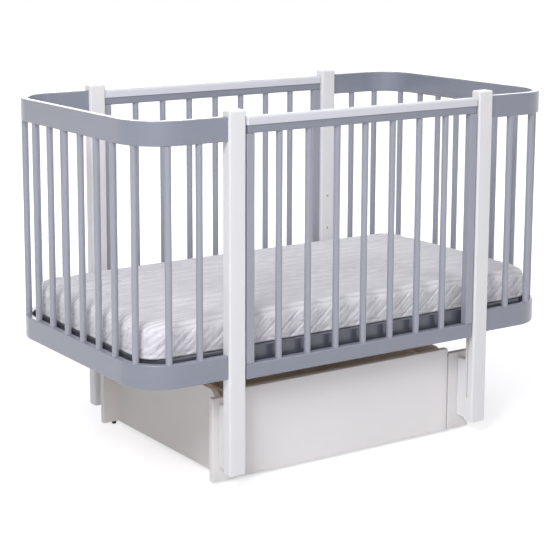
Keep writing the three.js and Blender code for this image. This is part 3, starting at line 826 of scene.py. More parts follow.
@dataclass(frozen=True)
class SocketBolt:
    """A bolt or pin along Y, with a domed head at its inner end and a six-sided socket in the head."""

    shank: float
    shank_rim: float
    head_rim: float
    socket: float
    socket_deep: float
    head_thick: float = 4 * MM

    def turn(self, name: str) -> Piece:
        """Model the bolt in the place of one of the frame's nodes.

        Args:
            name: the node's name.

        Returns:
            The bolt.
        """
        low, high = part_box(name)
        x, z = (low.x + high.x) / 2, (low.z + high.z) / 2
        head_middle = (x, high.y - self.head_thick / 2, z)
        head = rod("head", head_middle, self.head_thick, high.x - low.x, Axis.Y, self.head_rim)
        carve(head, rod("socket", (x, high.y, z), 2 * self.socket_deep, self.socket, Axis.Y, sides=6))
        shank_end = high.y - self.head_thick
        shank_middle = (x, (low.y + shank_end) / 2, z)
        return joined(head, rod("shank", shank_middle, shank_end - low.y, self.shank, Axis.Y, self.shank_rim))


@dataclass
class Posts:
    """The four posts, each with soft edges, the bed bolts' holes, and a groove in the two front ones."""

    edge: float = 5.5 * MM
    top_edge: float = 4.95 * MM
    foot_edge: float = 4 * MM
    bolt_hole: float = 6.6 * MM
    pin_hole: float = 8.6 * MM
    hole_deep: float = 18 * MM
    bolt_levels: tuple[float, ...] = (318 * MM, 449 * MM, 543 * MM)
    pin_level: float = 61 * MM
    pin_out: float = 3 * MM
    groove_low: Vector = field(default_factory=lambda: mm(-359, -331.7, 106))
    groove_high: Vector = field(default_factory=lambda: mm(-351, -326.7, 883))

    def pattern(self, name: str, grooved: bool) -> Piece:
        """Model the front left post.

        Args:
            name: the pattern's name.
            grooved: cut the groove for the front side's guides.

        Returns:
            The post.
        """
        low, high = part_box("post_front_left")
        post = block(name, low, high)
        round_edges(post, everywhere, self.edge, 5, upright=True)
        round_edges(post, lambda at: at.z > high.z - NEAR, self.top_edge, 5)
        round_edges(post, lambda at: at.z < low.z + NEAR, self.foot_edge, 4)
        middle = (low.x + high.x) / 2
        for level in self.bolt_levels:
            carve(post, rod("bore", (middle, high.y, level), 2 * self.hole_deep, self.bolt_hole, Axis.Y))
        pin_at = (middle + self.pin_out, high.y, self.pin_level)
        carve(post, rod("bore", pin_at, 2 * self.hole_deep, self.pin_hole, Axis.Y))
        if grooved:
            carve(post, block("groove", self.groove_low, self.groove_high))
        return post

    def build(self, finishes: Finishes) -> None:
        """Set a post at each corner and finish it in white lacquer.

        Args:
            finishes: the crib's finishes.
        """
        patterns = {1: self.pattern("post_with_groove", True), -1: self.pattern("post_plain", False)}
        for corner in Corner:
            post = copied(patterns[corner.value[1]], "lacquered_post_" + corner.label, corner.mirror)
            settle(post, ["post_" + corner.label], finishes.white_upright)
        throw_away(*patterns.values())


@dataclass
class EndFrames:
    """The rounded ends: a bent top band, and a bent bottom band with twelve dowels."""

    start: float = 398 * MM
    straight_end: float = 515 * MM
    bend_y: float = 234 * MM
    band_y: float = 335 * MM
    band_thick: float = 18 * MM
    band_tall: float = 57 * MM
    top_up: float = field(default_factory=lambda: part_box("top_band_right")[0].z)
    bottom_up: float = field(default_factory=lambda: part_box("end_slats_right")[0].z)
    edge: float = 2.6 * MM
    dowel: Dowel = Dowel()
    dowels: int = 12
    pitch: float = 79.5 * MM

    def band(self, name: str, up: float) -> Piece:
        """Bend a band: its profile is extruded along the straights and spun round the corners.

        Args:
            name: the band's name.
            up: its lower edge above the floor.

        Returns:
            The band of the right end.
        """
        select_only()
        middle = (self.start, -self.band_y, up + self.band_tall / 2)
        bpy.ops.mesh.primitive_plane_add(size=1, location=middle, rotation=(0, pi / 2, 0))
        band = bpy.context.active_object
        band.name = band.data.name = name
        band.scale = (self.band_tall, self.band_thick, 1)
        bpy.ops.object.transform_apply(location=True, rotation=True, scale=True)
        with editing(band, "VERT"):
            bpy.ops.mesh.select_all(action="SELECT")
            bpy.ops.mesh.bevel(offset=self.edge, segments=4, affect="VERTICES")
            bpy.ops.mesh.select_all(action="SELECT")
            bpy.ops.mesh.delete(type="ONLY_FACE")
            bpy.ops.mesh.select_all(action="SELECT")
            self.pull(self.straight_end - self.start, 0)
            self.turn(-self.bend_y)
            self.pull(0, 2 * self.bend_y)
            self.turn(self.bend_y)
            self.pull(self.start - self.straight_end, 0)
            bpy.ops.mesh.edge_face_add()
            pick(band, "EDGE", lambda at: at.x < self.start + NEAR and at.y < 0)
            bpy.ops.mesh.edge_face_add()
        return band

    def pull(self, x: float, y: float) -> None:
        """Extrude the selected profile."""
        bpy.ops.mesh.extrude_region_move(TRANSFORM_OT_translate={"value": (x, y, 0)})

    def turn(self, y: float) -> None:
        """Spin the selected profile a quarter turn round a bend's middle; a plus angle goes clockwise."""
        bpy.ops.mesh.spin(steps=20, angle=-pi / 2, center=(self.straight_end, y, 0), axis=(0, 0, 1))

    def on_band(self, distance: float) -> tuple[float, float]:
        """Find a place on a band's middle line.

        Args:
            distance: how far it is along the line from the middle of the end.

        Returns:
            Its x and y.
        """
        bend = self.band_y - self.bend_y
        far = abs(distance)
        side = 1 if distance > 0 else -1
        if far <= self.bend_y:
            return self.straight_end + bend, distance
        angle = min((far - self.bend_y) / bend, pi / 2)
        rest = max(far - self.bend_y - bend * pi / 2, 0.0)
        return self.straight_end + bend * cos(angle) - rest, side * (self.bend_y + bend * sin(angle))

    def dowel_set(self, finish: bpy.types.Material) -> list[Piece]:
        """Turn one dowel and copy it to its places along the bands.

        Args:
            finish: the dowels' paint.

        Returns:
            The right end's dowels.
        """
        one = self.dowel.turn(0, self.bottom_up + self.band_tall, self.top_up, finish)
        made = []
        for i in range(self.dowels):
            x, y = self.on_band((i - (self.dowels - 1) / 2) * self.pitch)
            made.append(copied(one, f"end_dowel_{i}", Matrix.Translation((x, y, 0))))
        throw_away(one)
        return made

    def build(self, finishes: Finishes) -> None:
        """Make the right end, turn a copy of it to the left, and finish both in grey lacquer.

        Args:
            finishes: the crib's finishes.
        """
        top = self.band("top_band", self.top_up)
        foot = dress(self.band("bottom_band", self.bottom_up), finishes.grey_level)
        comb = joined(foot, *self.dowel_set(finishes.grey_upright))
        for label, angle in (("right", 0.0), ("left", pi)):
            turn = Matrix.Rotation(angle, 4, "Z")
            band = copied(top, "bent_band_" + label, turn)
            settle(band, ["top_band_" + label], finishes.grey_level)
            slats = copied(comb, "dowelled_end_" + label, turn)
            settle(slats, ["end_slats_" + label], None)
        throw_away(top, comb)


@dataclass
class LongSides:
    """The two slatted long sides: bottom rail with dowels, stiles, top rail and its teething cover."""

    rail_edge: float = 3.2 * MM
    stile_edge: float = 1.6 * MM
    dowel: Dowel = Dowel()
    dowels: int = 7
    pitch: float = 84 * MM
    rail_tall: float = 37 * MM
    slot_low: Vector = field(default_factory=lambda: mm(-350, -331.4, 285.6))
    slot_high: Vector = field(default_factory=lambda: mm(-295.5, -325.6, 296.4))
    front_rail_half: float = 346 * MM
    back_rail_half: float = 349.5 * MM
    stud: float = 4 * MM
    stud_long: float = 15 * MM
    stud_rim: float = 0.6 * MM
    stud_at: Vector = field(default_factory=lambda: mm(348.5, -329, 864.5))
    cover_round: float = 5 * MM
    cover_lip: float = 0.5 * MM
    wall: float = 2.5 * MM
    room_round: float = 1.5 * MM

    def latch_slots(self, rail: Piece) -> None:
        """Cut the two slots that the latches slide in.

        Args:
            rail: the front side's bottom rail.
        """
        low, high = self.slot_low, self.slot_high
        for side in Side:
            near, far = sorted((side.value * low.x, side.value * high.x))
            carve(rail, block("slot", (near, low.y, low.z), (far, high.y, high.z)))

    def comb(self, label: str, finishes: Finishes) -> Piece:
        """Make the bottom rail of one side with its dowels standing in it, each painted along its grain.

        Args:
            label: front or back.
            finishes: the crib's finishes.

        Returns:
            The rail with its dowels.
        """
        low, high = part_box(label + "_slats")
        rail_high = low.z + self.rail_tall
        rail = block("bottom_rail", low, (high.x, high.y, rail_high), self.rail_edge, 4)
        if label == "front":
            self.latch_slots(rail)
        dress(rail, finishes.grey_level)
        top_rail_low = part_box(label + "_top_rail")[0].z
        one = self.dowel.turn((low.y + high.y) / 2, rail_high, top_rail_low, finishes.grey_upright)
        places = [(i - (self.dowels - 1) / 2) * self.pitch for i in range(self.dowels)]
        made = [copied(one, "side_dowel", Matrix.Translation((x, 0, 0))) for x in places]
        throw_away(one)
        comb = joined(rail, *made)
        comb.name = comb.data.name = "slatted_side_" + label
        return comb

    def top_rail(self, label: str) -> Piece:
        """Make the top rail of one side; the front one has a guide stud at each end.

        Args:
            label: front or back.

        Returns:
            The rail.
        """
        low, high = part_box(label + "_top_rail")
        end = self.front_rail_half if label == "front" else self.back_rail_half
        rail = block("capped_rail_" + label, (-end, low.y, low.z), (end, high.y, high.z), self.rail_edge, 4)
        if label == "front":
            for way in (-1, 1):
                at = (way * self.stud_at.x, self.stud_at.y, self.stud_at.z)
                rail = joined(rail, rod("stud", at, self.stud_long, self.stud, Axis.X, self.stud_rim))
        return rail

    def cover(self, label: str) -> Piece:
        """Make the vinyl cap over a top rail: a rounded block, open underneath, with room for the rail.

        Args:
            label: front or back.

        Returns:
            The cap.
        """
        low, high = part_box(label + "_rail_cover")
        below = Vector((0, 0, 2 * self.cover_round))
        cap = block("teething_cover_" + label, low - below, high, self.cover_round, 5)
        beside = Vector((PAST, PAST, 0))
        carve(cap, block("below", low - below * 2 - beside, Vector((high.x, high.y, low.z)) + beside))
        wall = Vector((self.wall, self.wall, self.wall))
        carve(cap, block("room", low + wall - Vector((0, 0, PAST)), high - wall, self.room_round, 2))
        round_edges(cap, lambda at: at.z < low.z + NEAR, self.cover_lip, 2)
        return cap

    def build(self, finishes: Finishes) -> None:
        """Make both sides and finish them in grey lacquer and clear vinyl.

        Args:
            finishes: the crib's finishes.
        """
        for label in ("front", "back"):
            settle(self.comb(label, finishes), [label + "_slats"], None)
            settle(self.top_rail(label), [label + "_top_rail"], finishes.grey_level)
            settle(self.cover(label), [label + "_rail_cover"], finishes.vinyl)
            for side in Side:
                stile = f"{label}_stile_{side.label}"
                piece = block("planed_" + stile, *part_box(stile), self.stile_edge, 3)
                settle(piece, [stile], finishes.grey_upright)


@dataclass
class Latches:
    """The two sliding latches in the front side's bottom rail, with ribbed thumb pieces."""

    edge: float = 0.9 * MM
    slide_back: float = 5 * MM
    thumb_long: float = 10 * MM
    thumb_deep: float = 6 * MM
    ribs: int = 3
    rib_first: float = 2.4 * MM
    rib_step: float = 2.6 * MM
    rib_wide: float = 2 * MM
    rib_out: float = 0.5 * MM

    def build(self, finishes: Finishes) -> None:
        """Model the left latch, mirror it to the right, and plate both.

        Args:
            finishes: the crib's finishes.
        """
        low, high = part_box("latch_left")
        slide = block("latch_slide", low, (high.x, high.y - self.slide_back, high.z), self.edge, 2)
        thumb_low = (high.x - self.thumb_long, high.y - self.thumb_deep, low.z)
        thumb = block("latch_thumb", thumb_low, high, self.edge, 2)
        through = high.z - low.z + 2 * PAST
        for i in range(self.ribs):
            at = (high.x - self.rib_first - self.rib_step * i, high.y + self.rib_out, (low.z + high.z) / 2)
            carve(thumb, rod("rib", at, through, self.rib_wide, Axis.Z, sides=16))
        pattern = joined(slide, thumb)
        for side in Side:
            latch = copied(pattern, "plated_latch_" + side.label, side.mirror)
            settle(latch, ["latch_" + side.label], finishes.zinc)
        throw_away(pattern)


@dataclass
class BedBase:
    """The bed base: an eight-sided frame with thirteen laths let in flush, held by four bolts."""

    chamfer: float = 60 * MM
    wall: float = 18 * MM
    edge: float = 1.4 * MM
    laths: int = 13
    lath_step: float = 88.769 * MM
    lath_wide: float = 68 * MM
    lath_thick: float = 12 * MM
    lath_edge: float = 2.5 * MM
    end_joint: float = 12 * MM
    bolt_out: float = 375 * MM
    bolt_up: float = 318 * MM
    bolt_hole: float = 6.6 * MM
    bolt: SocketBolt = SocketBolt(
        shank=6 * MM, shank_rim=0.6 * MM, head_rim=1.3 * MM, socket=5.8 * MM, socket_deep=2.5 * MM)

    def outline(self, name: str, inset: float, low: float, high: float) -> Piece:
        """Make an upright block with its four corners cut off.

        Args:
            name: the block's name.
            inset: how far its sides stand in from the frame's outside.
            low: the level of its underside.
            high: the level of its top.

        Returns:
            The block.
        """
        corner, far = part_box("bed_base")
        piece = block(name, (corner.x + inset, corner.y + inset, low), (far.x - inset, far.y - inset, high))
        cut = self.chamfer - inset * (2 - sqrt(2))
        round_edges(piece, everywhere, cut, 1, upright=True)
        return piece

    def frame_with_laths(self, finishes: Finishes) -> Piece:
        """Make the lacquered frame with its rims eased, and its bare laths in place.

        The laths end at the frame's inside, and the two outer ones follow its cut corners.

        Args:
            finishes: the crib's finishes.

        Returns:
            The bed base.
        """
        low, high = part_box("bed_base")
        ring = self.outline("bed_frame", 0.0, low.z, high.z)
        round_edges(ring, everywhere, self.edge, 2)
        carve(ring, self.outline("inside", self.wall, low.z - PAST, high.z + PAST))
        for x in (-self.bolt_out, self.bolt_out):
            carve(ring, rod("bore", (x, 0, self.bolt_up), 2 * (high.y + PAST), self.bolt_hole, Axis.Y))
        # The frame wears the darker grey, which is painted shade.
        dress(ring, finishes.grey_frame)
        half, reach = self.lath_wide / 2, high.y - self.wall
        floor = high.z - self.lath_thick
        laths = []
        for i in range(self.laths):
            x = (i - (self.laths - 1) / 2) * self.lath_step
            lath = block("lath", (x - half, -reach, floor), (x + half, reach, high.z), self.lath_edge)
            if i in (0, self.laths - 1):
                inset = self.wall - self.end_joint
                carve(lath, self.outline("trim", inset, floor - PAST, high.z + PAST), keep_common=True)
            laths.append(dress(lath, finishes.beech))
        return joined(ring, *laths)

    def build(self, finishes: Finishes) -> None:
        """Make the bed base and its bolts.

        Args:
            finishes: the crib's finishes.
        """
        base = self.frame_with_laths(finishes)
        base.name = base.data.name = "lathed_bed_base"
        settle(base, ["bed_base"], None, 30)
        pattern = self.bolt.turn("bed_bolt_front_left")
        for corner in Corner:
            bolt = copied(pattern, "socket_bolt_" + corner.label, corner.mirror)
            settle(bolt, ["bed_bolt_" + corner.label], finishes.zinc)
        throw_away(pattern)


def read_points(mesh: bpy.types.Mesh) -> np.ndarray:
    """Read where a mesh's points are.

    Args:
        mesh: the mesh.

    Returns:
        Rows of x, y and z.
    """
    flat = np.empty(len(mesh.vertices) * 3)
    mesh.vertices.foreach_get("co", flat)
    return flat.reshape(-1, 3)


def read_normals(mesh: bpy.types.Mesh) -> np.ndarray:
    """Read which way a mesh faces at its points.

    Args:
        mesh: the mesh.

    Returns:
        Rows of x, y and z.
    """
    flat = np.empty(len(mesh.vertices) * 3)
    mesh.vertices.foreach_get("normal", flat)
    return flat.reshape(-1, 3)


def write_points(mesh: bpy.types.Mesh, points: np.ndarray) -> None:
    """Put a mesh's points at these places."""
    mesh.vertices.foreach_set("co", points.reshape(-1))
    mesh.update()


def dent(away: np.ndarray, wide: float) -> np.ndarray:
    """How deep a soft dent is at a distance from its middle, from 1 there to nothing past its width."""
    return np.exp(-(away / wide) ** 2)


@dataclass
class Mattress:
    """The foam mattress in its quilted cover, swollen by a short cloth simulation and then sewn."""

    corner: float = 55 * MM
    rim: float = 15 * MM
    low_rim: float = 3 * MM
    crown: float = 11 * MM
    start_in: float = 2 * MM
    voxel: float = 6 * MM
    frames: int = 20
    pressure: float = 4.0
    swell_out: float = 2 * MM
    swell_up: float = 11 * MM
    channels: int = 15
    channel_deep: float = 2.5 * MM
    channel_wide: float = 3.2 * MM
    wave_out: float = 1.3 * MM
    wave_long: float = 110 * MM
    wave_shift: float = 1.7
    slant: float = 1.2
    pleat_step: float = 49 * MM
    pleat_deep: float = 3.2 * MM
    pleat_wide: float = 3.4 * MM
    pleat_fade: float = 8 * MM
    puffs: int = 3
    puff_deep: float = 0.8 * MM
    puff_shift: float = 1.3
    puff_turns: int = 9
    seam_up: float = 9.5 * MM
    seam_down: float = 8 * MM
    seam_deep: float = 1.6 * MM
    seam_wide: float = 2.4 * MM

    def shell(self) -> Piece:
        """Make the plain shape that the simulation starts from, remeshed evenly.

        Returns:
            The shape.
        """
        low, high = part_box("mattress")
        inset = Vector((self.start_in, self.start_in, 0))
        edge_top = high.z - self.crown
        pad = block("quilted_mattress", low + inset, Vector((high.x, high.y, edge_top)) - inset)
        round_edges(pad, everywhere, self.corner - self.start_in, 12, upright=True)
        round_edges(pad, lambda at: at.z > edge_top - NEAR, self.rim, 5)
        round_edges(pad, lambda at: at.z < low.z + NEAR, self.low_rim, 3)
        pad.data.remesh_voxel_size = self.voxel
        select_only(pad)
        bpy.ops.object.voxel_remesh()
        return pad

    def swell(self, pad: Piece) -> None:
        """Fill the cover: a cloth under pressure, with how far a point may move held back.

        Args:
            pad: the plain shape.
        """
        rest = read_points(pad.data)
        cloth = pad.modifiers.new("fill", "CLOTH")
        cloth.settings.use_pressure = True
        cloth.settings.uniform_pressure_force = self.pressure
        cloth.settings.effector_weights.gravity = 0.0
        cloth.settings.quality = 3
        for moment in range(1, self.frames + 1):
            bpy.context.scene.frame_set(moment)
        swollen = pad.evaluated_get(bpy.context.evaluated_depsgraph_get()).to_mesh()
        moved = read_points(swollen) - rest
        pad.modifiers.remove(cloth)
        bpy.context.scene.frame_set(1)
        moved[:, :2] = np.clip(moved[:, :2], -self.swell_out, self.swell_out)
        moved[:, 2] = np.clip(moved[:, 2], 0.0, self.swell_up)
        moved[rest[:, 2] < rest[:, 2].min() + self.rim, 2] = 0.0
        write_points(pad.data, rest + moved)

    def top_depth(self, points: np.ndarray, normals: np.ndarray) -> np.ndarray:
        """Work out how deep the waving seams between the top's channels are drawn in.

        Args:
            points: the cover's points.
            normals: which way it faces there.

        Returns:
            A depth for each point.
        """
        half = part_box("mattress")[1]
        x, y = points[:, 0], points[:, 1]
        step = 2 * (half.y - self.corner) / (self.channels - 2)
        wave = self.wave_out * np.sin(x * 2 * pi / self.wave_long + np.round(y / step) * self.wave_shift)
        row = (y + wave) / step
        away = np.abs(row - np.round(row)) * step
        faces_up = np.clip((normals[:, 2] - 0.5) / 0.4, 0, 1)
        inside = 1 - np.maximum(np.abs(x) / half.x, np.abs(y) / half.y) ** 8
        return self.channel_deep * dent(away, self.channel_wide) * faces_up * np.clip(inside, 0, 1)

    def border_depth(self, points: np.ndarray, normals: np.ndarray) -> np.ndarray:
        """Work out how deep the border is drawn in by its slanting pleats and its two seams.

        Args:
            points: the cover's points.
            normals: which way it faces there.

        Returns:
            A depth for each point.
        """
        low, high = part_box("mattress")
        x, y = points[:, 0], points[:, 1]
        tall = points[:, 2] - low.z
        border_tall = high.z - self.crown - low.z
        on_long_side = np.abs(y) > np.abs(x) - (high.x - high.y)
        round_way = np.where(on_long_side, -x * np.sign(y), y * np.sign(x))
        count = (round_way - self.slant * tall) / self.pleat_step
        away = np.abs(count - np.round(count)) * self.pleat_step
        pleats = self.pleat_deep * dent(away, self.pleat_wide) * np.clip(tall / self.pleat_fade, 0, 1)
        angle = np.arctan2(y / high.y, x / high.x)
        ripple = np.sin(count * 2 * pi * self.puffs + self.puff_shift * np.sin(angle * self.puff_turns))
        puffs = self.puff_deep * ripple * np.sin(pi * np.clip(tall / border_tall, 0, 1))
        levels = (self.seam_up, border_tall - self.seam_down)
        seams = sum(self.seam_deep * dent(tall - level, self.seam_wide) for level in levels)
        upright = 1 - np.abs(np.clip(normals[:, 2], -1, 1))
        return np.clip((upright - 0.35) / 0.4, 0, 1) * (pleats + puffs + seams)

    def sew(self, pad: Piece) -> None:
        """Draw in the channels along the top, and the pleats and seams of the border.

        Args:
            pad: the filled cover.
        """
        points, normals = read_points(pad.data), read_normals(pad.data)
        depth = self.top_depth(points, normals) + self.border_depth(points, normals)
        write_points(pad.data, points - normals * depth[:, None])

    def build(self, finishes: Finishes) -> None:
        """Make the mattress and cover it in quilted knit.

        Args:
            finishes: the crib's finishes.
        """
        pad = self.shell()
        self.swell(pad)
        finer = pad.modifiers.new("finer", "SUBSURF")
        finer.levels = finer.render_levels = 1
        select_only(pad)
        bpy.ops.object.modifier_apply(modifier=finer.name)
        self.sew(pad)
        settle(pad, ["mattress"], finishes.knit, 80)


@dataclass
class Pendulum:
    """The four links that the crib hangs on, with the pins that they turn on."""

    edge: float = 2.6 * MM
    bore: float = 8.6 * MM
    levels: tuple[float, float] = (61 * MM, 185 * MM)
    pin: float = 8 * MM
    pin_rim: float = 0.8 * MM
    headed_pin: SocketBolt = SocketBolt(
        shank=8 * MM, shank_rim=0.8 * MM, head_rim=1.5 * MM, socket=6.9 * MM, socket_deep=2.2 * MM)

    def link(self) -> Piece:
        """Make the front left link: a softly edged block with a bore at both ends.

        Returns:
            The link.
        """
        low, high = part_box("link_front_left")
        piece = block("link", low, high, self.edge, 4)
        through = high.y - low.y + 2 * PAST
        for level in self.levels:
            middle = ((low.x + high.x) / 2, (low.y + high.y) / 2, level)
            carve(piece, rod("bore", middle, through, self.bore, Axis.Y))
        return piece

    def plain_pin(self) -> Piece:
        """The front left lower pin, let into the post."""
        low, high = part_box("lower_pin_front_left")
        return rod("pin", (low + high) / 2, high.y - low.y, self.pin, Axis.Y, self.pin_rim)

    def build(self, finishes: Finishes) -> None:
        """Make a link and its two pins, and copy them to the four corners.

        Args:
            finishes: the crib's finishes.
        """
        link, lower = self.link(), self.plain_pin()
        upper = self.headed_pin.turn("upper_pin_front_left")
        for corner in Corner:
            hung = copied(link, "hung_link_" + corner.label, corner.mirror)
            settle(hung, ["link_" + corner.label], finishes.white_upright)
            pin = copied(upper, "headed_pin_" + corner.label, corner.mirror)
            settle(pin, ["upper_pin_" + corner.label], finishes.zinc)
            pin = copied(lower, "plain_pin_" + corner.label, corner.mirror)
            settle(pin, ["lower_pin_" + corner.label], finishes.zinc)
        throw_away(link, lower, upper)


@dataclass
class Cabinet:
    """The base: corner boards, notched side panels, a back panel, feet and bumpers."""

    board_edge: float = 2.4 * MM
    pin_out: float = 372 * MM
    pin_level: float = 185 * MM
    pin_hole: float = 8.6 * MM
    panel_edge: float = 0.8 * MM
    notch_y: float = 219 * MM
    notch_up: float = 138 * MM
    notch_inner: float = 15 * MM
    notch_outer: float = 25 * MM
    foot_round: float = 4 * MM
    bumper_rim: float = 0.9 * MM

    def corner_board(self) -> Piece:
        """Make the front left board, with its front and back edges eased and the pin's bore.

        Returns:
            The board.
        """
        low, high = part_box("corner_board_front_left")
        board = block("board", low, high)
        with editing(board, "FACE"):
            for y in (low.y, high.y):
                pick(board, "FACE", lambda at, face_y=y: abs(at.y - face_y) < NEAR)
                bpy.ops.mesh.bevel(offset=self.board_edge, segments=3, affect="EDGES")
        pin = (-self.pin_out, (low.y + high.y) / 2, self.pin_level)
        carve(board, rod("bore", pin, high.y - low.y + 2 * PAST, self.pin_hole, Axis.Y))
        return board

    def side_panel(self) -> Piece:
        """Make the left side panel, with a rounded notch at both upper corners.

        Returns:
            The panel.
        """
        low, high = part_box("base_side_left")
        panel = block("panel", low, high)
        for way in (-1, 1):
            edge_y = way * self.notch_y
            near, far = sorted((edge_y, way * (high.y + PAST)))
            notch = block("notch", (low.x - PAST, near, self.notch_up), (high.x + PAST, far, high.z + PAST))
            round_edges(notch, lambda at, y=edge_y: abs(at.y - y) < NEAR and at.z < self.notch_up + NEAR,
                        self.notch_inner, 8)
            carve(panel, notch)
            round_edges(panel, lambda at, y=edge_y: abs(at.y - y) < NEAR and at.z > high.z - NEAR,
                        self.notch_outer, 10)
        return panel

    def rubber_foot(self, row: str) -> Piece:
        """Make a left foot: a turned dome.

        Args:
            row: front or back.

        Returns:
            The foot.
        """
        low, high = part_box(f"foot_{row}_left")
        foot = rod("foot", (low + high) / 2, high.z - low.z, high.x - low.x, Axis.Z)
        round_edges(foot, lambda at: at.z < low.z + NEAR, self.foot_round, 5)
        return foot

    def bumper(self, side: Side) -> Piece:
        """Make the rubber stop beside the drawer's front.

        Args:
            side: the side that it is on.

        Returns:
            The stop.
        """
        low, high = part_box("drawer_bumper_" + side.label)
        long, thick = high.x - low.x, high.z - low.z
        return rod("rubber_bumper_" + side.label, (low + high) / 2, long, thick, Axis.X, self.bumper_rim)

    def build(self, finishes: Finishes) -> None:
        """Make the base's pieces and finish them.

        Args:
            finishes: the crib's finishes.
        """
        board, panel = self.corner_board(), self.side_panel()
        for corner in Corner:
            upright = copied(board, "faced_board_" + corner.label, corner.mirror)
            settle(upright, ["corner_board_" + corner.label], finishes.board)
        for side in Side:
            made = copied(panel, "notched_panel_" + side.label, side.mirror)
            settle(made, ["base_side_" + side.label], finishes.board, 30)
            settle(self.bumper(side), ["drawer_bumper_" + side.label], finishes.rubber)
        for row in ("front", "back"):
            foot = self.rubber_foot(row)
            for side in Side:
                dome = copied(foot, f"rubber_foot_{row}_{side.label}", side.mirror)
                settle(dome, [f"foot_{row}_{side.label}"], finishes.rubber, 60)
            throw_away(foot)
        back = block("back_board", *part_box("base_back"), self.panel_edge, 2)
        settle(back, ["base_back"], finishes.board)
        throw_away(board, panel)


@dataclass
class Drawer:
    """The drawer: its front, a box of four boards, and the bars that run in the base's rails."""

    front_edge: float = 2.4 * MM
    wall_edge: float = 0.8 * MM

    def build(self, finishes: Finishes) -> None:
        """Make the drawer's boards, and dress the frame's own rails and bars.

        Args:
            finishes: the crib's finishes.
        """
        front = block("drawer_front_board", *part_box("drawer_front"), self.front_edge, 4)
        settle(front, ["drawer_front"], finishes.board)
        for name in ("drawer_side_left", "drawer_side_right", "drawer_back", "drawer_bottom"):
            board = block(name + "_board", *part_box(name), self.wall_edge, 2)
            settle(board, [name], finishes.board)
        for side in Side:
            for name in ("runner_rail_", "drawer_runner_bar_"):
                rail = dress(frame["nodes"][name + side.label], finishes.white_level)
                LOG.info("%s: dressed as it is", rail.name)


@dataclass(frozen=True)
class Lamp:
    """A soft lamp: its place in metres, how wide and tall it is, and its power in watts."""

    name: str
    at: tuple[float, float, float]
    size: tuple[float, float]
    power: float

    def hang(self, aim: Vector, colour: str) -> None:
        """Hang the lamp so that it faces the crib.

        Args:
            aim: the point that it faces.
            colour: its light's colour.
        """
        data = bpy.data.lights.new(self.name, "AREA")
        data.shape = "RECTANGLE"
        data.energy = self.power
        data.color = linear(colour)[:3]
        data.size, data.size_y = self.size
        lamp = bpy.data.objects.new(self.name, data)
        lamp.location = self.at
        lamp.rotation_euler = (aim - lamp.location).to_track_quat("-Z", "Y").to_euler()
        bpy.context.collection.objects.link(lamp)


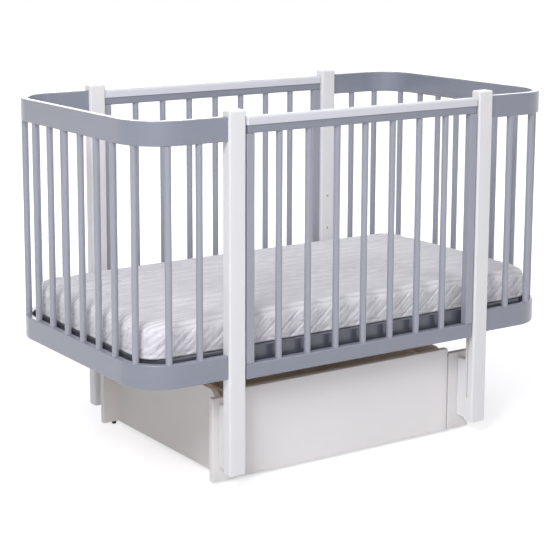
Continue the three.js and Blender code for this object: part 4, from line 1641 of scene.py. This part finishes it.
@dataclass
class Studio:
    """A white floor and plain soft light, and the camera where the photograph was taken from."""

    eye: Vector = field(default_factory=lambda: mm(-2327.27, -3326.8, 1334.24))
    down: float = 9.77
    across: float = 33.33
    lens: float = 103.525
    sensor: float = 36.0
    shift: tuple[float, float] = (0.0636, -0.1509)
    sky: float = 0.2
    sky_colour: str = "#fdfcff"
    lamp_colour: str = "#fafaff"
    aim: Vector = field(default_factory=lambda: mm(0, 0, 450))
    lamps: tuple[Lamp, ...] = (
        Lamp("key", (-3.16, -2.21, 3.47), (1.8, 1.8), 128.0),
        Lamp("front", (-3.05, -3.75, 1.65), (2.2, 1.2), 26.0),
        Lamp("fill", (1.93, -3.34, 3.47), (1.8, 1.8), 40.0),
        Lamp("over", (-0.3, -0.2, 3.65), (2.6, 2.6), 28.0),
        Lamp("rim", (2.15, 3.2, 1.85), (4.0, 1.0), 36.0),
    )
    floor_wide: float = 30.0
    floor_colour: str = "#e4e4e6"
    glow: float = 0.58
    far_glow: float = 1.0
    glow_from: float = 1.0
    glow_to: float = 3.5

    def camera(self) -> None:
        """Set up the camera."""
        data = bpy.data.cameras.new("camera")
        data.lens, data.sensor_width = self.lens, self.sensor
        data.shift_x, data.shift_y = self.shift
        camera = bpy.data.objects.new("camera", data)
        camera.location = self.eye
        camera.rotation_euler = (radians(90 - self.down), 0, radians(-self.across))
        bpy.context.collection.objects.link(camera)
        bpy.context.scene.camera = camera

    def straight_sight(self, tree: bpy.types.NodeTree) -> tuple[bpy.types.NodeSocket, bpy.types.NodeSocket]:
        """Add what tells a ray from the camera or off a shiny surface from the light's other rays.

        Args:
            tree: the node tree of the floor or the surround.

        Returns:
            A value of 1 for such a ray, and one of 1 for a ray that came through a clear piece.
        """
        ray = node(tree, "ShaderNodeLightPath").outputs
        seen = node(tree, "ShaderNodeMath", {0: ray["Is Camera Ray"], 1: ray["Is Glossy Ray"]},
                    operation="MAXIMUM")
        return seen.outputs[0], ray["Is Transmission Ray"]

    def floor(self) -> None:
        """Lay the floor: white to the camera, and darker only where the crib's shadow falls."""
        material, tree = begin_material("studio_floor")
        seen, _ = self.straight_sight(tree)
        # Further off the lamps give less, and there the floor's own glow rises and keeps it white.
        place = node(tree, "ShaderNodeTexCoord").outputs["Object"]
        away = node(tree, "ShaderNodeVectorMath", {0: place}, operation="LENGTH")
        level = node(tree, "ShaderNodeMapRange", {
            "Value": away.outputs["Value"], "From Min": self.glow_from, "From Max": self.glow_to,
            "To Min": self.glow, "To Max": self.far_glow})
        glow = node(tree, "ShaderNodeMath", {0: seen, 1: level.outputs[0]}, operation="MULTIPLY")
        matt = node(tree, "ShaderNodeBsdfDiffuse", {"Color": linear(self.floor_colour)})
        lit = node(tree, "ShaderNodeEmission", {"Strength": glow.outputs[0]})
        both = node(tree, "ShaderNodeAddShader", {0: matt.outputs[0], 1: lit.outputs[0]})
        node(tree, "ShaderNodeOutputMaterial", {"Surface": both.outputs[0]})
        select_only()
        bpy.ops.mesh.primitive_plane_add(size=self.floor_wide, location=(0, 0, 0))
        floor = bpy.context.active_object
        floor.name = "studio_floor"
        floor.data.materials.append(material)

    def surround(self) -> None:
        """Set up a plain surround: even soft light, and white behind the crib."""
        world = bpy.data.worlds.new("studio")
        bpy.context.scene.world = world
        world.use_nodes = True
        tree = world.node_tree
        tree.nodes.clear()
        direct, through = self.straight_sight(tree)
        seen = node(tree, "ShaderNodeMath", {0: direct, 1: through}, operation="MAXIMUM")
        soft = node(tree, "ShaderNodeBackground", {"Color": linear(self.sky_colour), "Strength": self.sky})
        white = node(tree, "ShaderNodeBackground", {"Color": (1, 1, 1, 1), "Strength": 1.0})
        both = node(tree, "ShaderNodeMixShader", {
            0: seen.outputs[0], 1: soft.outputs[0], 2: white.outputs[0]})
        node(tree, "ShaderNodeOutputWorld", {"Surface": both.outputs[0]})

    def build(self) -> None:
        """Set up the floor, the light and the camera."""
        self.floor()
        self.surround()
        for lamp in self.lamps:
            lamp.hang(self.aim, self.lamp_colour)
        self.camera()
        bpy.context.scene.view_settings.view_transform = "Standard"


def main() -> None:
    """Build the crib and its studio in order."""
    finishes = Finishes()
    crib = (Posts(), EndFrames(), LongSides(), Latches(), BedBase(), Mattress())
    under_it = (Pendulum(), Cabinet(), Drawer())
    for part in crib + under_it:
        part.build(finishes)
        LOG.info("%s done", type(part).__name__)
    Studio().build()


if __name__ == "__main__":
    main()
